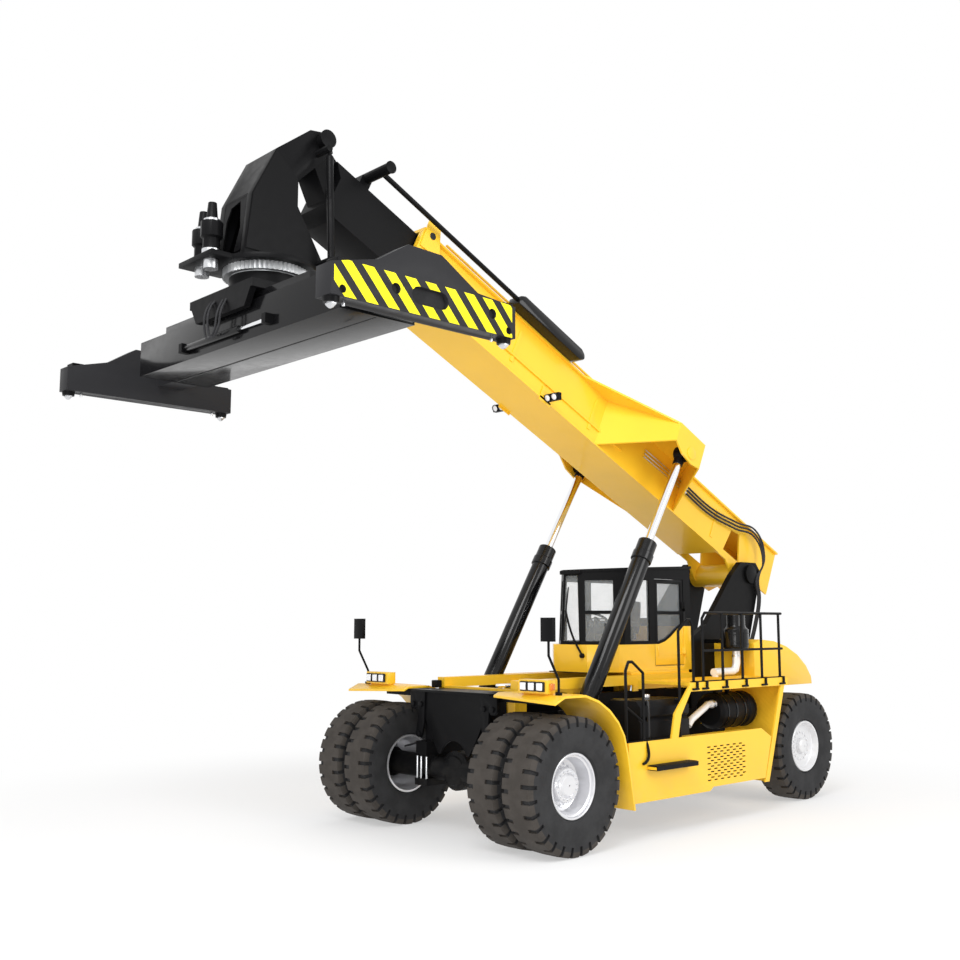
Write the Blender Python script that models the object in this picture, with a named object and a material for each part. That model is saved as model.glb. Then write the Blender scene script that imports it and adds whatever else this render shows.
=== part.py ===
"""Container reach stacker: a two-axle carrier with a telescopic boom and a container spreader.

Units are metres, +Z is up, the machine's front faces -Y and its left side is +X.
The part's origin is on the ground, half way between the foremost and the rearmost point.
Carrier pieces are placed from the front axle's centre line on the ground. Boom pieces are
placed from the boom's foot pin, with u forward along the boom and v square to it.
"""

import math

import bmesh
import bpy
from mathutils import Matrix, Vector

# Carrier: driving dimensions
WHEELBASE = 6.00
GAP = 0.0003
TYRE_RADIUS = 0.83
TYRE_WIDTH = 0.49
RIM_RADIUS = 0.40
TWIN_PITCH = 0.60
FRONT_OUTER_X = 1.845
REAR_WHEEL_X = 1.395
KINGPIN_X = 1.02
LUGS = 20
LUG_SHARE, LUG_DEPTH = 0.66, 0.045
BEAD_R = RIM_RADIUS * math.cos(math.pi * LUG_SHARE / LUGS)
RIM_LIP, HUB_DEPTH, HUB_R = 0.055, 0.34, 0.215
REAR_LIP, REAR_HUB = 0.03, 0.16
RIM_SIDES = 24

# Frame and body
RAIL_IN, RAIL_OUT = 0.46, 0.60
SADDLE_IN, SADDLE_OUT = RAIL_IN - 0.005, RAIL_OUT + 0.07
RAIL_LOW, RAIL_TOP = 0.90, 1.45
AXLE_SEAT = 1.00
FRAME_FRONT = -0.09
HEADER_REAR = 0.28
LIP_Z, LIP_FRONT_Y = 1.875, -0.21
ARCH_TOP, ARCH_R = 1.22, 0.268
HOOD_TOP = 1.78
ARM_R = 0.16
SPINE_HALF = 0.34
SPINE_LOW, SPINE_TOP = 1.02, 1.70
BODY_X = 1.92
PLATE = 0.03
FENDER_X = 2.05
FENDER_IN = 0.89
FENDER_TOP = 1.87
FENDER_FRONT = -0.34
DECK_Z, DECK_EDGE = 1.96, 0.12
DECK_IN = 1.02
DECK_Y0, DECK_Y1 = 2.52, 5.02
SKIRT_Y0, SKIRT_Y1 = 1.18, 4.26
SKIRT_LOW, SKIRT_TOP = 0.47, 1.24
STEP_OUT = 0.16
INTAKE_R = 0.06
RAIL_R = 0.02
STRIP = 0.012
CAB_RAIL_IN, CAB_RAIL_OUT = 0.66, 0.80
CAB_RAIL_LOW, CAB_RAIL_TOP = 1.88, 2.02

# Grille of the left side plate
GRILLE_ROWS, GRILLE_COLUMNS = 13, 6
GRILLE_Y0, GRILLE_Z0 = 2.89, 0.605
GRILLE_PITCH, GRILLE_RISE = 0.155, 0.0375
SLOT_LENGTH, SLOT_HEIGHT = 0.085, 0.018

# Boom: driving dimensions, in the boom's own frame
BOOM_ANGLE = math.radians(25.3)
PIVOT_Y, PIVOT_Z = 6.10, 3.60
PIVOT_R = 0.11
BOOM_HALF = 0.40
BOOM_LOW, BOOM_TOP = 0.055, 0.87
BOOM_REAR, BOOM_FRONT = -0.87, 8.33
BOOM_WALL = 0.03
INNER_HALF = 0.33
INNER_LOW, INNER_TOP = 0.115, 0.80
INNER_REAR, INNER_FRONT = 0.80, 9.78
HEAD_U, HEAD_V = 10.07, 0.86
HEAD_PIN_R = 0.09
HEAD_PIN_END = 0.46
CHEEK_IN, CHEEK_OUT = 0.24, 0.34
CROSS_U, CROSS_HALF = 9.30, 0.78
ROD_V, GUIDE_X, GUIDE_R = 0.95, 0.58, 0.035
TRAY_REAR, TRAY_FRONT = 5.10, 6.60
TOWER_IN, TOWER_OUT = 0.50, 0.60
WING_TIP = 1.20
WING_REAR, WING_FRONT, WING_REACH = 2.66, 3.33, 5.00
WING_LIP = 0.56

# Hoist cylinders
HOIST_X = 1.01
HOIST_BASE_Y, HOIST_BASE_Z = 1.10, 1.20
EYE_U, EYE_V = 2.93, 0.56
EYE_R = 0.125
BARREL_R = 0.133
COLLAR = 0.022
ROD_R = 0.065
BASE_PIN_R = 0.06
BASE_EYE_R = 0.14
EYE_HALF = 0.13
BARREL_LENGTH = 3.25
BARREL_FLOOR = 0.31
ROD_FOOT = 1.45

# Spreader
SPREADER_Y = -3.18
CORNER_X, CORNER_Y = 5.853 / 2, 2.259 / 2
CORNER_INSET = 0.0805
LOCK_LOW = 5.685
END_BEAM_LOW, END_BEAM_TOP = 5.79, 6.14
END_BEAM_HALF = CORNER_Y + CORNER_INSET
END_BEAM_X0, END_BEAM_X1 = 2.79, 3.03
ARM_REACH = -2.0
MAIN_HALF_X = 2.20
MAIN_LOW, MAIN_TOP = 5.97, 6.42
SADDLE_Z = 6.52
RING_Z0, RING_Z1 = 6.86, 6.96
RING_R, TEETH, TOOTH = 0.52, 60, 0.022
DAMPER_X = 0.54

# Cab
CAB_HALF = 0.66
CAB_FRONT, CAB_REAR = 2.21, 4.31
CAB_FLAT = 0.33
SCREEN_LOW, SCREEN_TOP = 0.20, 0.15
SCREEN_LEAN = 0.04
CAB_Z0, FLOOR_Z = 2.06, 2.12
SILL_Z = 2.46
MID_RISE = 0.50
MID_BAR = SILL_Z + MID_RISE
ROOF_TOP, ROOF_RISE, ROOF_PLATE = 3.57, 0.10, 0.05
CAB_WALL = 0.05
DOOR_Y0, DOOR_Y1 = 3.40, 4.13
DOOR_LOW, DOOR_TOP = 2.14, 3.45
DOOR_GAP = 0.006
DOOR_OUT = CAB_HALF - 0.006
HINGE_X, HINGE_Y, HINGE_R = 0.676, 4.124, 0.015
HINGE_HEIGHTS = (2.30, 3.00)

# The origin lies half way between the spreader's front and the boom's rear end
FRONT_REACH = END_BEAM_HALF - SPREADER_Y
REAR_REACH = PIVOT_Y - BOOM_REAR * math.cos(BOOM_ANGLE) + BOOM_TOP * math.sin(BOOM_ANGLE)
FRONT_AXLE_Y = (FRONT_REACH - REAR_REACH) / 2


def material(name, color, roughness, metallic):
    made = bpy.data.materials.new(name)
    made.use_nodes = True
    shader = made.node_tree.nodes["Principled BSDF"]
    shader.inputs["Base Color"].default_value = (*color, 1)
    shader.inputs["Roughness"].default_value = roughness
    shader.inputs["Metallic"].default_value = metallic
    return made


def clear_scene():
    for old in list(bpy.data.objects):
        bpy.data.objects.remove(old, do_unlink=True)


def empty(name, location, tilt=0.0, parent=None):
    made = bpy.data.objects.new(name, None)
    made.location = location
    made.rotation_euler.x = tilt
    made.parent = parent
    bpy.context.scene.collection.objects.link(made)
    return made


# Shells: each returns a bmesh of one closed body


def shell_from(points, faces):
    shell = bmesh.new()
    verts = [shell.verts.new(point) for point in points]
    for face in faces:
        shell.faces.new([verts[i] for i in face])
    bmesh.ops.recalc_face_normals(shell, faces=shell.faces)
    if shell.calc_volume(signed=True) < 0:
        bmesh.ops.reverse_faces(shell, faces=shell.faces)
    return shell


def loft(sections):
    """A closed body through rings with equal numbers of points."""
    count = len(sections[0])
    points = [point for ring in sections for point in ring]
    faces = [list(range(count)), [len(points) - count + i for i in range(count)]]
    for ring in range(len(sections) - 1):
        for i in range(count):
            j = (i + 1) % count
            a, b = ring * count, (ring + 1) * count
            faces.append([a + i, a + j, b + j, b + i])
    return shell_from(points, faces)


def prism(profile, low, high, along="X"):
    """A flat profile extruded along one axis. The profile's pairs are the other two, in order."""
    place = {
        "X": lambda p, t: (t, p[0], p[1]),
        "Y": lambda p, t: (p[0], t, p[1]),
        "Z": lambda p, t: (p[0], p[1], t),
    }[along]
    return loft([[place(p, low) for p in profile], [place(p, high) for p in profile]])


def block(x, y, z):
    return prism([(x[0], y[0]), (x[1], y[0]), (x[1], y[1]), (x[0], y[1])], z[0], z[1], "Z")


def frame_of(direction):
    """Two unit vectors square to a direction."""
    direction = Vector(direction).normalized()
    helper = Vector((0, 0, 1)) if abs(direction.z) < 0.9 else Vector((1, 0, 0))
    side = direction.cross(helper).normalized()
    return side, direction.cross(side).normalized()


def turned(profile, start, direction, steps=16):
    """Pairs of distance along the axis and radius, turned about it, with flat ends."""
    direction = Vector(direction).normalized()
    side, other = frame_of(direction)
    start = Vector(start)
    rings = []
    for along, radius in profile:
        ring = []
        for i in range(steps):
            angle = 2 * math.pi * i / steps
            out = side * math.cos(angle) + other * math.sin(angle)
            ring.append(tuple(start + direction * along + out * radius))
        rings.append(ring)
    return loft(rings)


def hoop(profile, start, direction, steps=24):
    """A closed outline of distance and radius pairs, turned about an axis into a ring."""
    direction = Vector(direction).normalized()
    side, other = frame_of(direction)
    start = Vector(start)
    points, faces = [], []
    count = len(profile)
    for i in range(steps):
        angle = 2 * math.pi * i / steps
        out = side * math.cos(angle) + other * math.sin(angle)
        points += [tuple(start + direction * a + out * r) for a, r in profile]
        after = (i + 1) % steps
        for j in range(count):
            k = (j + 1) % count
            faces.append([i * count + j, i * count + k, after * count + k, after * count + j])
    return shell_from(points, faces)


def bar(start, end, radius, steps=8):
    start, end = Vector(start), Vector(end)
    return turned([(0, radius), ((end - start).length, radius)], start, end - start, steps)


def pipe(route, radius, steps=8):
    """A tube along a route of points, with mitred corners and flat ends."""
    route = [Vector(point) for point in route]
    runs = [(b - a).normalized() for a, b in zip(route, route[1:])]
    side, other = frame_of(runs[0])
    rings = []
    for i, point in enumerate(route):
        before = runs[max(i - 1, 0)]
        after = runs[min(i, len(runs) - 1)]
        normal = (before + after).normalized()
        if i:
            turn = runs[i - 1].rotation_difference(after)
            side_next, other_next = turn @ side, turn @ other
        else:
            side_next, other_next = side, other
        ring = []
        for k in range(steps):
            angle = 2 * math.pi * k / steps
            out = (side * math.cos(angle) + other * math.sin(angle)) * radius
            slide = -out.dot(normal) / before.dot(normal)
            ring.append(tuple(point + out + before * slide))
        rings.append(ring)
        side, other = side_next, other_next
    return loft(rings)


def arc(centre, radius, start, end, count):
    """Points on an arc, angles in degrees."""
    step = (end - start) / count
    angles = [math.radians(start + step * i) for i in range(count + 1)]
    return [(centre[0] + radius * math.cos(a), centre[1] + radius * math.sin(a)) for a in angles]


def mirrored(shell):
    """The same shell on the other side of the machine's middle plane."""
    copy = shell.copy()
    bmesh.ops.scale(copy, vec=(-1, 1, 1), verts=copy.verts)
    bmesh.ops.reverse_faces(copy, faces=copy.faces)
    return copy


def both(shells):
    return shells + [mirrored(shell) for shell in shells]


def loose(name, shell):
    mesh = bpy.data.meshes.new(name)
    shell.to_mesh(mesh)
    return bpy.data.objects.new(name, mesh)


def trimmed(shell, cutter):
    """A shell with another taken away, for use as a cutter."""
    scene = bpy.context.scene.collection
    made, helper = loose("trimmed", shell), loose("helper", cutter)
    for thing in (made, helper):
        scene.objects.link(thing)
    step = made.modifiers.new("cut", "BOOLEAN")
    step.operation = "DIFFERENCE"
    step.object = helper
    bpy.context.view_layer.update()
    mesh = bpy.data.meshes.new_from_object(made.evaluated_get(bpy.context.evaluated_depsgraph_get()))
    result = bmesh.new()
    result.from_mesh(mesh)
    for thing in (made, helper):
        bpy.data.objects.remove(thing, do_unlink=True)
    return result


def piece(name, look, parent, add, cut=(), origin=(0, 0, 0)):
    """One named object: the first shell, with the others united and the cutters taken away."""
    scene = bpy.context.scene.collection
    made = loose(name, add[0])
    scene.objects.link(made)
    helpers = []
    for kind, shells in (("UNION", add[1:]), ("DIFFERENCE", cut)):
        for shell in shells:
            helper = loose("helper", shell)
            scene.objects.link(helper)
            helper.hide_render = True
            helper.display_type = "WIRE"
            step = made.modifiers.new(kind.lower(), "BOOLEAN")
            step.operation = kind
            step.object = helper
            helpers.append(helper)
    if helpers:
        bpy.context.view_layer.update()
        graph = bpy.context.evaluated_depsgraph_get()
        mesh = bpy.data.meshes.new_from_object(made.evaluated_get(graph))
        made.modifiers.clear()
        made.data = mesh
        for helper in helpers:
            bpy.data.objects.remove(helper, do_unlink=True)
    made.data.name = name
    made.data.transform(Matrix.Translation(-Vector(origin)))
    made.data.materials.clear()
    made.data.materials.append(look)
    made.location = origin
    made.parent = parent
    made.data.shade_smooth()
    made.data.set_sharp_from_angle(angle=math.radians(35))
    return made


# Wheels


def tyre_profile(depth):
    """Distance from the wheel's middle and radius, round the section. The shoulders lie back by a depth."""
    half = TYRE_WIDTH / 2
    near = [
        (half * 0.72, RIM_RADIUS),
        (half, RIM_RADIUS + 0.19),
        (half * 0.90 - depth * 0.3, TYRE_RADIUS - 0.02 - depth),
        (half * 0.42, TYRE_RADIUS),
    ]
    return [(-a, r) for a, r in near] + list(reversed(near))


def tyre(x, y):
    """Tyre with grooves cut into both shoulders, which leave a row of lugs on each."""
    pitch = 2 * math.pi / LUGS
    points, faces = [], []
    for lug in range(LUGS):
        for share, depth in ((0, 0), (LUG_SHARE, 0), ((1 + LUG_SHARE) / 2, LUG_DEPTH)):
            angle = pitch * (lug + share)
            for a, r in tyre_profile(depth):
                points.append((x + a, y + r * math.cos(angle), TYRE_RADIUS + r * math.sin(angle)))
    count = len(tyre_profile(0))
    rings = len(points) // count
    for ring in range(rings):
        here, after = ring * count, (ring + 1) % rings * count
        for i in range(count):
            j = (i + 1) % count
            faces.append([here + i, here + j, after + j, after + i])
    return shell_from(points, faces)


def front_wheel(side, name, looks, machine):
    """Two tyres on one long rim, which is open and dished at its outer end."""
    centre = side * (FRONT_OUTER_X - TWIN_PITCH / 2)
    origin = (centre, 0, TYRE_RADIUS)
    for word, x in (("outer", FRONT_OUTER_X), ("inner", FRONT_OUTER_X - TWIN_PITCH)):
        piece(f"tyre_front_{name}_{word}", looks["tyre"], machine, [tyre(side * x, 0)], origin=origin)
    r = BEAD_R - GAP
    outer_end = FRONT_OUTER_X + TYRE_WIDTH / 2 - RIM_LIP
    inner_end = FRONT_OUTER_X - TWIN_PITCH - TYRE_WIDTH / 2 + RIM_LIP
    outline = [
        (inner_end, r - 0.03),
        (inner_end, r),
        (outer_end, r),
        (outer_end, r - 0.03),
        (outer_end - 0.05, r - 0.055),
        (outer_end - 0.22, r - 0.07),
        (outer_end - 0.24, r - 0.11),
        (outer_end - 0.24, HUB_R - 0.01),
        (outer_end - 0.27, HUB_R - 0.01),
        (outer_end - 0.27, r - 0.09),
        (outer_end - 0.32, r - 0.04),
    ]
    rim = hoop(outline, (0, 0, TYRE_RADIUS), (side, 0, 0), RIM_SIDES)
    hub_view = [(0, HUB_R), (0.22, HUB_R), (0.24, HUB_R - 0.02), (0.24, 0.14), (0.27, 0.12)]
    hub = turned(hub_view, (side * (outer_end - HUB_DEPTH), 0, TYRE_RADIUS), (side, 0, 0), 20)
    piece(f"rim_front_{name}", looks["rim_silver"], machine, [rim, hub], origin=origin)


def rear_wheel(side, name, looks, machine):
    origin = (side * REAR_WHEEL_X, WHEELBASE, TYRE_RADIUS)
    piece(f"tyre_rear_{name}", looks["tyre"], machine, [tyre(side * REAR_WHEEL_X, WHEELBASE)], origin=origin)
    r = BEAD_R - GAP
    outer_end = REAR_WHEEL_X + TYRE_WIDTH / 2 - REAR_LIP
    outline = [
        (outer_end - 0.40, r - 0.03),
        (outer_end - 0.40, r),
        (outer_end, r),
        (outer_end, r - 0.03),
        (outer_end - 0.04, r - 0.05),
        (outer_end - 0.10, r - 0.06),
        (outer_end - 0.10, 0.10),
        (outer_end - 0.13, 0.10),
        (outer_end - 0.13, r - 0.07),
        (outer_end - 0.20, r - 0.04),
    ]
    rim = hoop(outline, (0, WHEELBASE, TYRE_RADIUS), (side, 0, 0), RIM_SIDES)
    start = (side * (outer_end - REAR_HUB), WHEELBASE, TYRE_RADIUS)
    hub = turned([(0, 0.12), (0.12, 0.12), (0.14, 0.09)], start, (side, 0, 0), 16)
    piece(f"rim_rear_{name}", looks["rim_white"], machine, [rim, hub], origin=origin)


def knuckle(side, name, looks, machine):
    """Kingpin post with the stub that carries the rear wheel's rim."""
    x = side * KINGPIN_X
    post = bar((x, WHEELBASE, 0.60), (x, WHEELBASE, 1.06), 0.07, 16)
    hub = bar((x, WHEELBASE, 0.66 + GAP), (x, WHEELBASE, 1.00 - GAP), 0.095, 16)
    stub_end = REAR_WHEEL_X + TYRE_WIDTH / 2 - REAR_LIP - REAR_HUB - GAP
    stub = turned(
        [(0, 0.11), (0.10, 0.11), (0.16, 0.09), (stub_end - KINGPIN_X, 0.09)],
        (x, WHEELBASE, TYRE_RADIUS),
        (side, 0, 0),
        16,
    )
    piece(f"knuckle_{name}", looks["black"], machine, [post, hub, stub], origin=(x, WHEELBASE, TYRE_RADIUS))


# Carrier


def chassis(looks, machine):
    rails = both([block((RAIL_IN, RAIL_OUT), (FRAME_FRONT, 4.90), (RAIL_LOW, RAIL_TOP))])
    crosses = [
        block((-RAIL_OUT, RAIL_OUT), (y, y + 0.14), (RAIL_LOW + 0.08, RAIL_TOP - 0.06))
        for y in (1.00, 2.30, 4.20, 4.76)
    ]
    front_cross = (ARCH_TOP + 0.02, RAIL_TOP - 0.06)
    crosses.append(block((-RAIL_OUT, RAIL_OUT), (FRAME_FRONT, 0.05), front_cross))
    horn_height = (RAIL_TOP - 0.02, LIP_Z - 0.01)
    horns = both([block((RAIL_IN, RAIL_OUT), (FRAME_FRONT, HEADER_REAR), horn_height)])
    header = block((-RAIL_OUT, RAIL_OUT), (FRAME_FRONT, HEADER_REAR), (LIP_Z - PLATE, LIP_Z))
    spine = block((-SPINE_HALF, SPINE_HALF), (4.70, 6.40), (SPINE_LOW, SPINE_TOP))
    outrigger = both([block((RAIL_IN + 0.05, HOIST_X - 0.16), (1.00, 1.50), (1.02, 1.38))])
    lug_view = [(0.95, 1.02), (1.50, 1.02), (1.50, 1.30), (1.28, 1.36), (1.02, 1.36), (0.95, 1.26)]
    lugs = [
        prism(lug_view, HOIST_X - 0.22, HOIST_X - EYE_HALF),
        prism(lug_view, HOIST_X + EYE_HALF, HOIST_X + 0.20),
        block((HOIST_X - 0.2, HOIST_X + 0.2), (0.98, 1.50), (0.92, 1.03)),
    ]
    pin_ends = [(HOIST_X + reach, HOIST_BASE_Y, HOIST_BASE_Z) for reach in (-0.21, 0.21)]
    pin = bar(*pin_ends, BASE_PIN_R, 16)
    carriers = []
    for y in (1.30, 4.12):
        carriers.append(block((RAIL_OUT - 0.05, BODY_X - PLATE - GAP), (y, y + 0.10), (0.95, 1.06)))
    for y in (-0.06, 0.12):
        carriers.append(block((RAIL_OUT - 0.02, 1.50), (y, y + 0.08), (FENDER_TOP - 0.10, FENDER_TOP - GAP)))
    saddles = [block((SADDLE_IN, SADDLE_OUT), (-0.20, 0.24), (AXLE_SEAT, AXLE_SEAT + 0.18))]
    hood = [block((RAIL_OUT - 0.005, RAIL_OUT + 0.03), (1.30, 4.10), (RAIL_TOP - 0.05, HOOD_TOP))]
    under_axle = (RAIL_LOW - 0.1, AXLE_SEAT)
    notches = both([block((RAIL_IN - 0.1, RAIL_OUT + 0.1), (FRAME_FRONT - 0.2, 0.27), under_axle)])
    sides = both(lugs + [pin] + carriers + saddles + hood)
    whole = rails + crosses + horns + [header, spine] + outrigger + sides
    piece("chassis_frame", looks["black"], machine, whole, notches)


def front_plate(looks, machine):
    """Cross plate between the front wheels: a top lip, ears at its sides, an arch over the differential."""
    back = FRAME_FRONT - GAP
    face = back - PLATE
    edge = [(0.30, 1.035), (0.394, 1.17), (0.488, 1.33), (0.577, 1.50), (0.563, 1.70)]
    edge.append((0.563, LIP_Z - 0.01))
    arch = arc((0, ARCH_TOP - ARCH_R), ARCH_R, 162, 18, 8)
    outline = edge + [(-x, z) for x, z in reversed(edge)] + arch
    plate = prism(outline, face, back, "Y")
    lip = block((-0.78, 0.78), (LIP_FRONT_Y, back), (LIP_Z - PLATE, LIP_Z))
    ear_view = [
        (0.55, LIP_Z - 0.01),
        (0.86, LIP_Z - 0.01),
        (0.86, 1.64),
        (0.82, 1.60),
        (0.75, 1.60),
        (0.71, 1.64),
        (0.70, 1.48),
        (0.735, 1.30),
        (0.70, 1.225),
        (0.635, 1.225),
        (0.60, 1.30),
        (0.57, 1.42),
    ]
    ears = [prism(ear_view, face - PLATE, face + 0.005, "Y")]
    for x, z in ((0.624, 1.673), (0.787, 1.673), (0.667, 1.276)):
        ears.append(bar((x, face - PLATE - 0.03, z), (x, face - 0.01, z), 0.04, 12))
    piece("front_plate", looks["black"], machine, [plate, lip] + both(ears))


def drive_axle(looks, machine):
    """Banjo axle: two arms, a disc-shaped housing with its cover in front and the drive's input behind."""
    reach = FRONT_OUTER_X + TYRE_WIDTH / 2 - RIM_LIP - HUB_DEPTH - GAP
    half = [(0, HUB_R - 0.01), (0.30, HUB_R - 0.01), (0.36, ARM_R)]
    arms = half + [(2 * reach - a, r) for a, r in reversed(half)]
    beam = turned(arms, (-reach, 0, TYRE_RADIUS), (1, 0, 0), 16)
    front = [(0, 0.19), (0.03, 0.26), (0.22, 0.26), (0.24, 0.20), (0.27, 0.19), (0.29, 0.15)]
    housing = turned(front, (0, 0.14, TYRE_RADIUS), (0, -1, 0), 24)
    input_view = [(0, 0.15), (0.26, 0.13), (0.30, 0.09), (0.42, 0.09)]
    drive = turned(input_view, (0, 0.10, TYRE_RADIUS), (0, 1, 0), 16)
    pads = [block((0.44, 0.65), (-0.18, 0.20), (TYRE_RADIUS, AXLE_SEAT - GAP))]
    under_arm = TYRE_RADIUS - ARM_R
    pads.append(block((0.42, 0.67), (-0.22, 0.24), (under_arm - 0.07, under_arm + 0.02)))
    for x in (0.45, 0.56, 0.64):
        for y in (-0.195, 0.215):
            pads.append(bar((x, y, under_arm - 0.02), (x, y, AXLE_SEAT - GAP), 0.014, 6))
    piece("drive_axle", looks["black"], machine, [beam, housing, drive] + both(pads))


def fender_outline(lift):
    """Side view of the fender from its front lip to its rear foot, raised by its plate's thickness."""
    return [
        (FENDER_FRONT, FENDER_TOP - 0.08 + lift),
        (FENDER_FRONT + 0.18, FENDER_TOP + lift),
        (0.22, FENDER_TOP + lift),
        (0.46 + lift * 0.2, FENDER_TOP - 0.08 + lift),
        (0.66 + lift * 0.5, FENDER_TOP - 0.20 + lift * 0.9),
        (0.82 + lift * 0.7, 1.52 + lift * 0.7),
        (0.93 + lift * 0.9, 1.35 + lift * 0.4),
        (0.99 + lift, 1.13 + lift * 0.2),
        (1.04 + lift, 0.85),
        (1.12 + lift, 0.42),
    ]


def fender(side, name, looks, machine):
    outline = fender_outline(0) + list(reversed(fender_outline(PLATE)))
    shell = prism(outline, FENDER_IN, FENDER_X)
    inside, outside = FENDER_IN - 0.1, FENDER_X + 0.1
    swept = [(inside, -0.6), (outside, -0.6), (outside, FENDER_FRONT), (inside, -0.23)]
    corner = prism(swept, 1.5, 2.2, "Z")
    notch = block((inside, 1.24), (0.56, 1.40), (0.2, 1.80))
    if side < 0:
        shell, corner, notch = mirrored(shell), mirrored(corner), mirrored(notch)
    piece(f"fender_{name}", looks["yellow"], machine, [shell], [corner, notch])


def skirt(side, name, looks, machine):
    """Side plate with a lip and a step. The left one has a staggered grille of short slots."""
    outline = [
        (SKIRT_Y0 + 0.04, SKIRT_LOW),
        (2.94, SKIRT_LOW),
        (3.02, SKIRT_LOW + 0.05),
        (4.33, SKIRT_LOW + 0.05),
        (4.52, 1.10),
        (SKIRT_Y1, SKIRT_TOP),
        (SKIRT_Y0, SKIRT_TOP),
    ]
    plate = prism(outline, BODY_X - PLATE, BODY_X)
    lip = block((BODY_X - 0.14, BODY_X - 0.01), (SKIRT_Y0 + 0.05, 4.0), (SKIRT_TOP - PLATE, SKIRT_TOP))
    step = block((BODY_X - 0.01, BODY_X + STEP_OUT), (1.56, 2.45), (0.88, 0.92))
    add = [plate, lip, step]
    grille = []
    for row in range(GRILLE_ROWS):
        z = GRILLE_Z0 + row * GRILLE_RISE
        for column in range(GRILLE_COLUMNS):
            y = GRILLE_Y0 + (column + row % 2 / 2) * GRILLE_PITCH
            grille.append(block((BODY_X - 0.1, BODY_X + 0.1), (y, y + SLOT_LENGTH), (z, z + SLOT_HEIGHT)))
    if side < 0:
        add = [mirrored(shell) for shell in add]
        grille = []
    piece(f"skirt_{name}", looks["yellow"], machine, add, grille)


def deck(side, name, looks, machine):
    """Walkway with the slanted mud plate before the rear wheel."""
    low = DECK_Z - DECK_EDGE
    top = block((DECK_IN, BODY_X), (DECK_Y0, DECK_Y1), (DECK_Z - 0.04, DECK_Z))
    edge = block((BODY_X - 0.04, BODY_X), (DECK_Y0, DECK_Y1), (low, DECK_Z))
    inner = block((DECK_IN, DECK_IN + 0.06), (DECK_Y0, DECK_Y1), (low, DECK_Z))
    mud_low, mud_rear, under = 4.40, 4.96, DECK_Z - 0.02
    mud_view = [(mud_low, 0.46), (mud_low + PLATE, 0.46), (mud_rear, under), (mud_rear - PLATE, under)]
    mud = prism(mud_view, DECK_IN, BODY_X)
    flange_view = [(mud_low - 0.08, 0.46)] + mud_view[1:3] + [(mud_rear - 0.10, under)]
    flange = prism(flange_view, BODY_X - PLATE, BODY_X)
    strut_view = [
        (2.09, SKIRT_TOP + GAP),
        (2.24, SKIRT_TOP + GAP),
        (2.32, 1.54),
        (2.62, DECK_Z - 0.02),
        (2.54, DECK_Z - 0.02),
        (2.17, 1.56),
    ]
    strut = prism(strut_view, BODY_X - 0.028, BODY_X)
    arm = block((RAIL_OUT + GAP, DECK_IN + 0.03), (4.60, 4.74), (1.20, 1.34))
    arm_up = block((DECK_IN, DECK_IN + 0.03), (4.60, 4.80), (1.20, DECK_Z - 0.02))
    add = [top, edge, inner, mud, flange, strut, arm, arm_up]
    if side < 0:
        add = [mirrored(shell) for shell in add]
    piece(f"deck_{name}", looks["yellow"], machine, add)


def handrail(looks, machine):
    """Rail of the left walkway, with the hoops at its front end and over the step, on two base strips."""
    x = BODY_X - 0.05
    foot, low = DECK_Z + GAP, SKIRT_TOP + GAP
    top, mid = 2.92, 2.39
    add = [pipe([(x, 2.91, foot), (x, 2.91, top - 0.08), (x, 2.98, top), (x, 4.97, top)], RAIL_R, 6)]
    add.append(bar((x, 2.91, mid), (x, 4.97, mid), RAIL_R, 6))
    add += [bar((x, y, foot), (x, y, top - 0.001), RAIL_R, 6) for y in (3.39, 3.89, 4.40, 4.89)]
    gate = [(2.35, low), (2.35, 2.67), (2.55, 2.82), (2.62, 2.82), (2.68, 2.72), (2.68, foot)]
    grab = [(1.20, low), (1.20, 2.16), (1.26, 2.27), (1.34, 2.27), (1.56, 2.12), (1.56, low)]
    add += [pipe([(x, y, z) for y, z in route], RAIL_R, 6) for route in (gate, grab)]
    add.append(bar((x, 1.20, 1.70), (x, 1.56, 1.48), RAIL_R * 0.7, 6))
    add.append(block((x - 0.03, x + 0.03), (2.64, 4.95), (foot, foot + STRIP)))
    add.append(block((x - 0.03, x + 0.03), (1.19, 2.08), (low, low + STRIP)))
    add.append(block((x - 0.03, x - 0.012), (2.06, 2.37), (low, low + STRIP)))
    piece("handrail_left", looks["black"], machine, add)


def boom_tower(looks, machine):
    outline = [
        (4.36, RAIL_TOP + GAP),
        (4.97, RAIL_TOP + GAP),
        (5.10, SPINE_TOP + 0.06),
        (5.92, SPINE_TOP + 0.06),
        (6.03, 2.46),
        (6.44, 3.64),
        (6.30, 3.80),
        (5.86, 3.80),
        (5.58, 3.57),
        (4.82, 2.76),
        (4.50, 2.59),
        (4.40, 2.56),
    ]
    plates = both([prism(outline, TOWER_IN, TOWER_OUT)])
    inside = (-TOWER_OUT + 0.01, TOWER_OUT - 0.01)
    base = block(inside, (4.98, 5.90), (SPINE_TOP + GAP, SPINE_TOP + 0.10))
    cross = block(inside, (4.60, 4.90), (1.90, 2.30))
    cutter = bar((-1, PIVOT_Y, PIVOT_Z), (1, PIVOT_Y, PIVOT_Z), PIVOT_R + 0.001, 24)
    piece("boom_tower", looks["black"], machine, plates + [base, cross], [cutter])


def engine(looks, machine):
    box = block((-0.42, 0.42), (2.46, 3.98), (0.98, 1.70))
    feet = both([block((0.40, RAIL_IN - GAP), (y, y + 0.12), (1.10, 1.24)) for y in (2.70, 3.60)])
    piece("engine", looks["black"], machine, [box] + feet)


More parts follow.
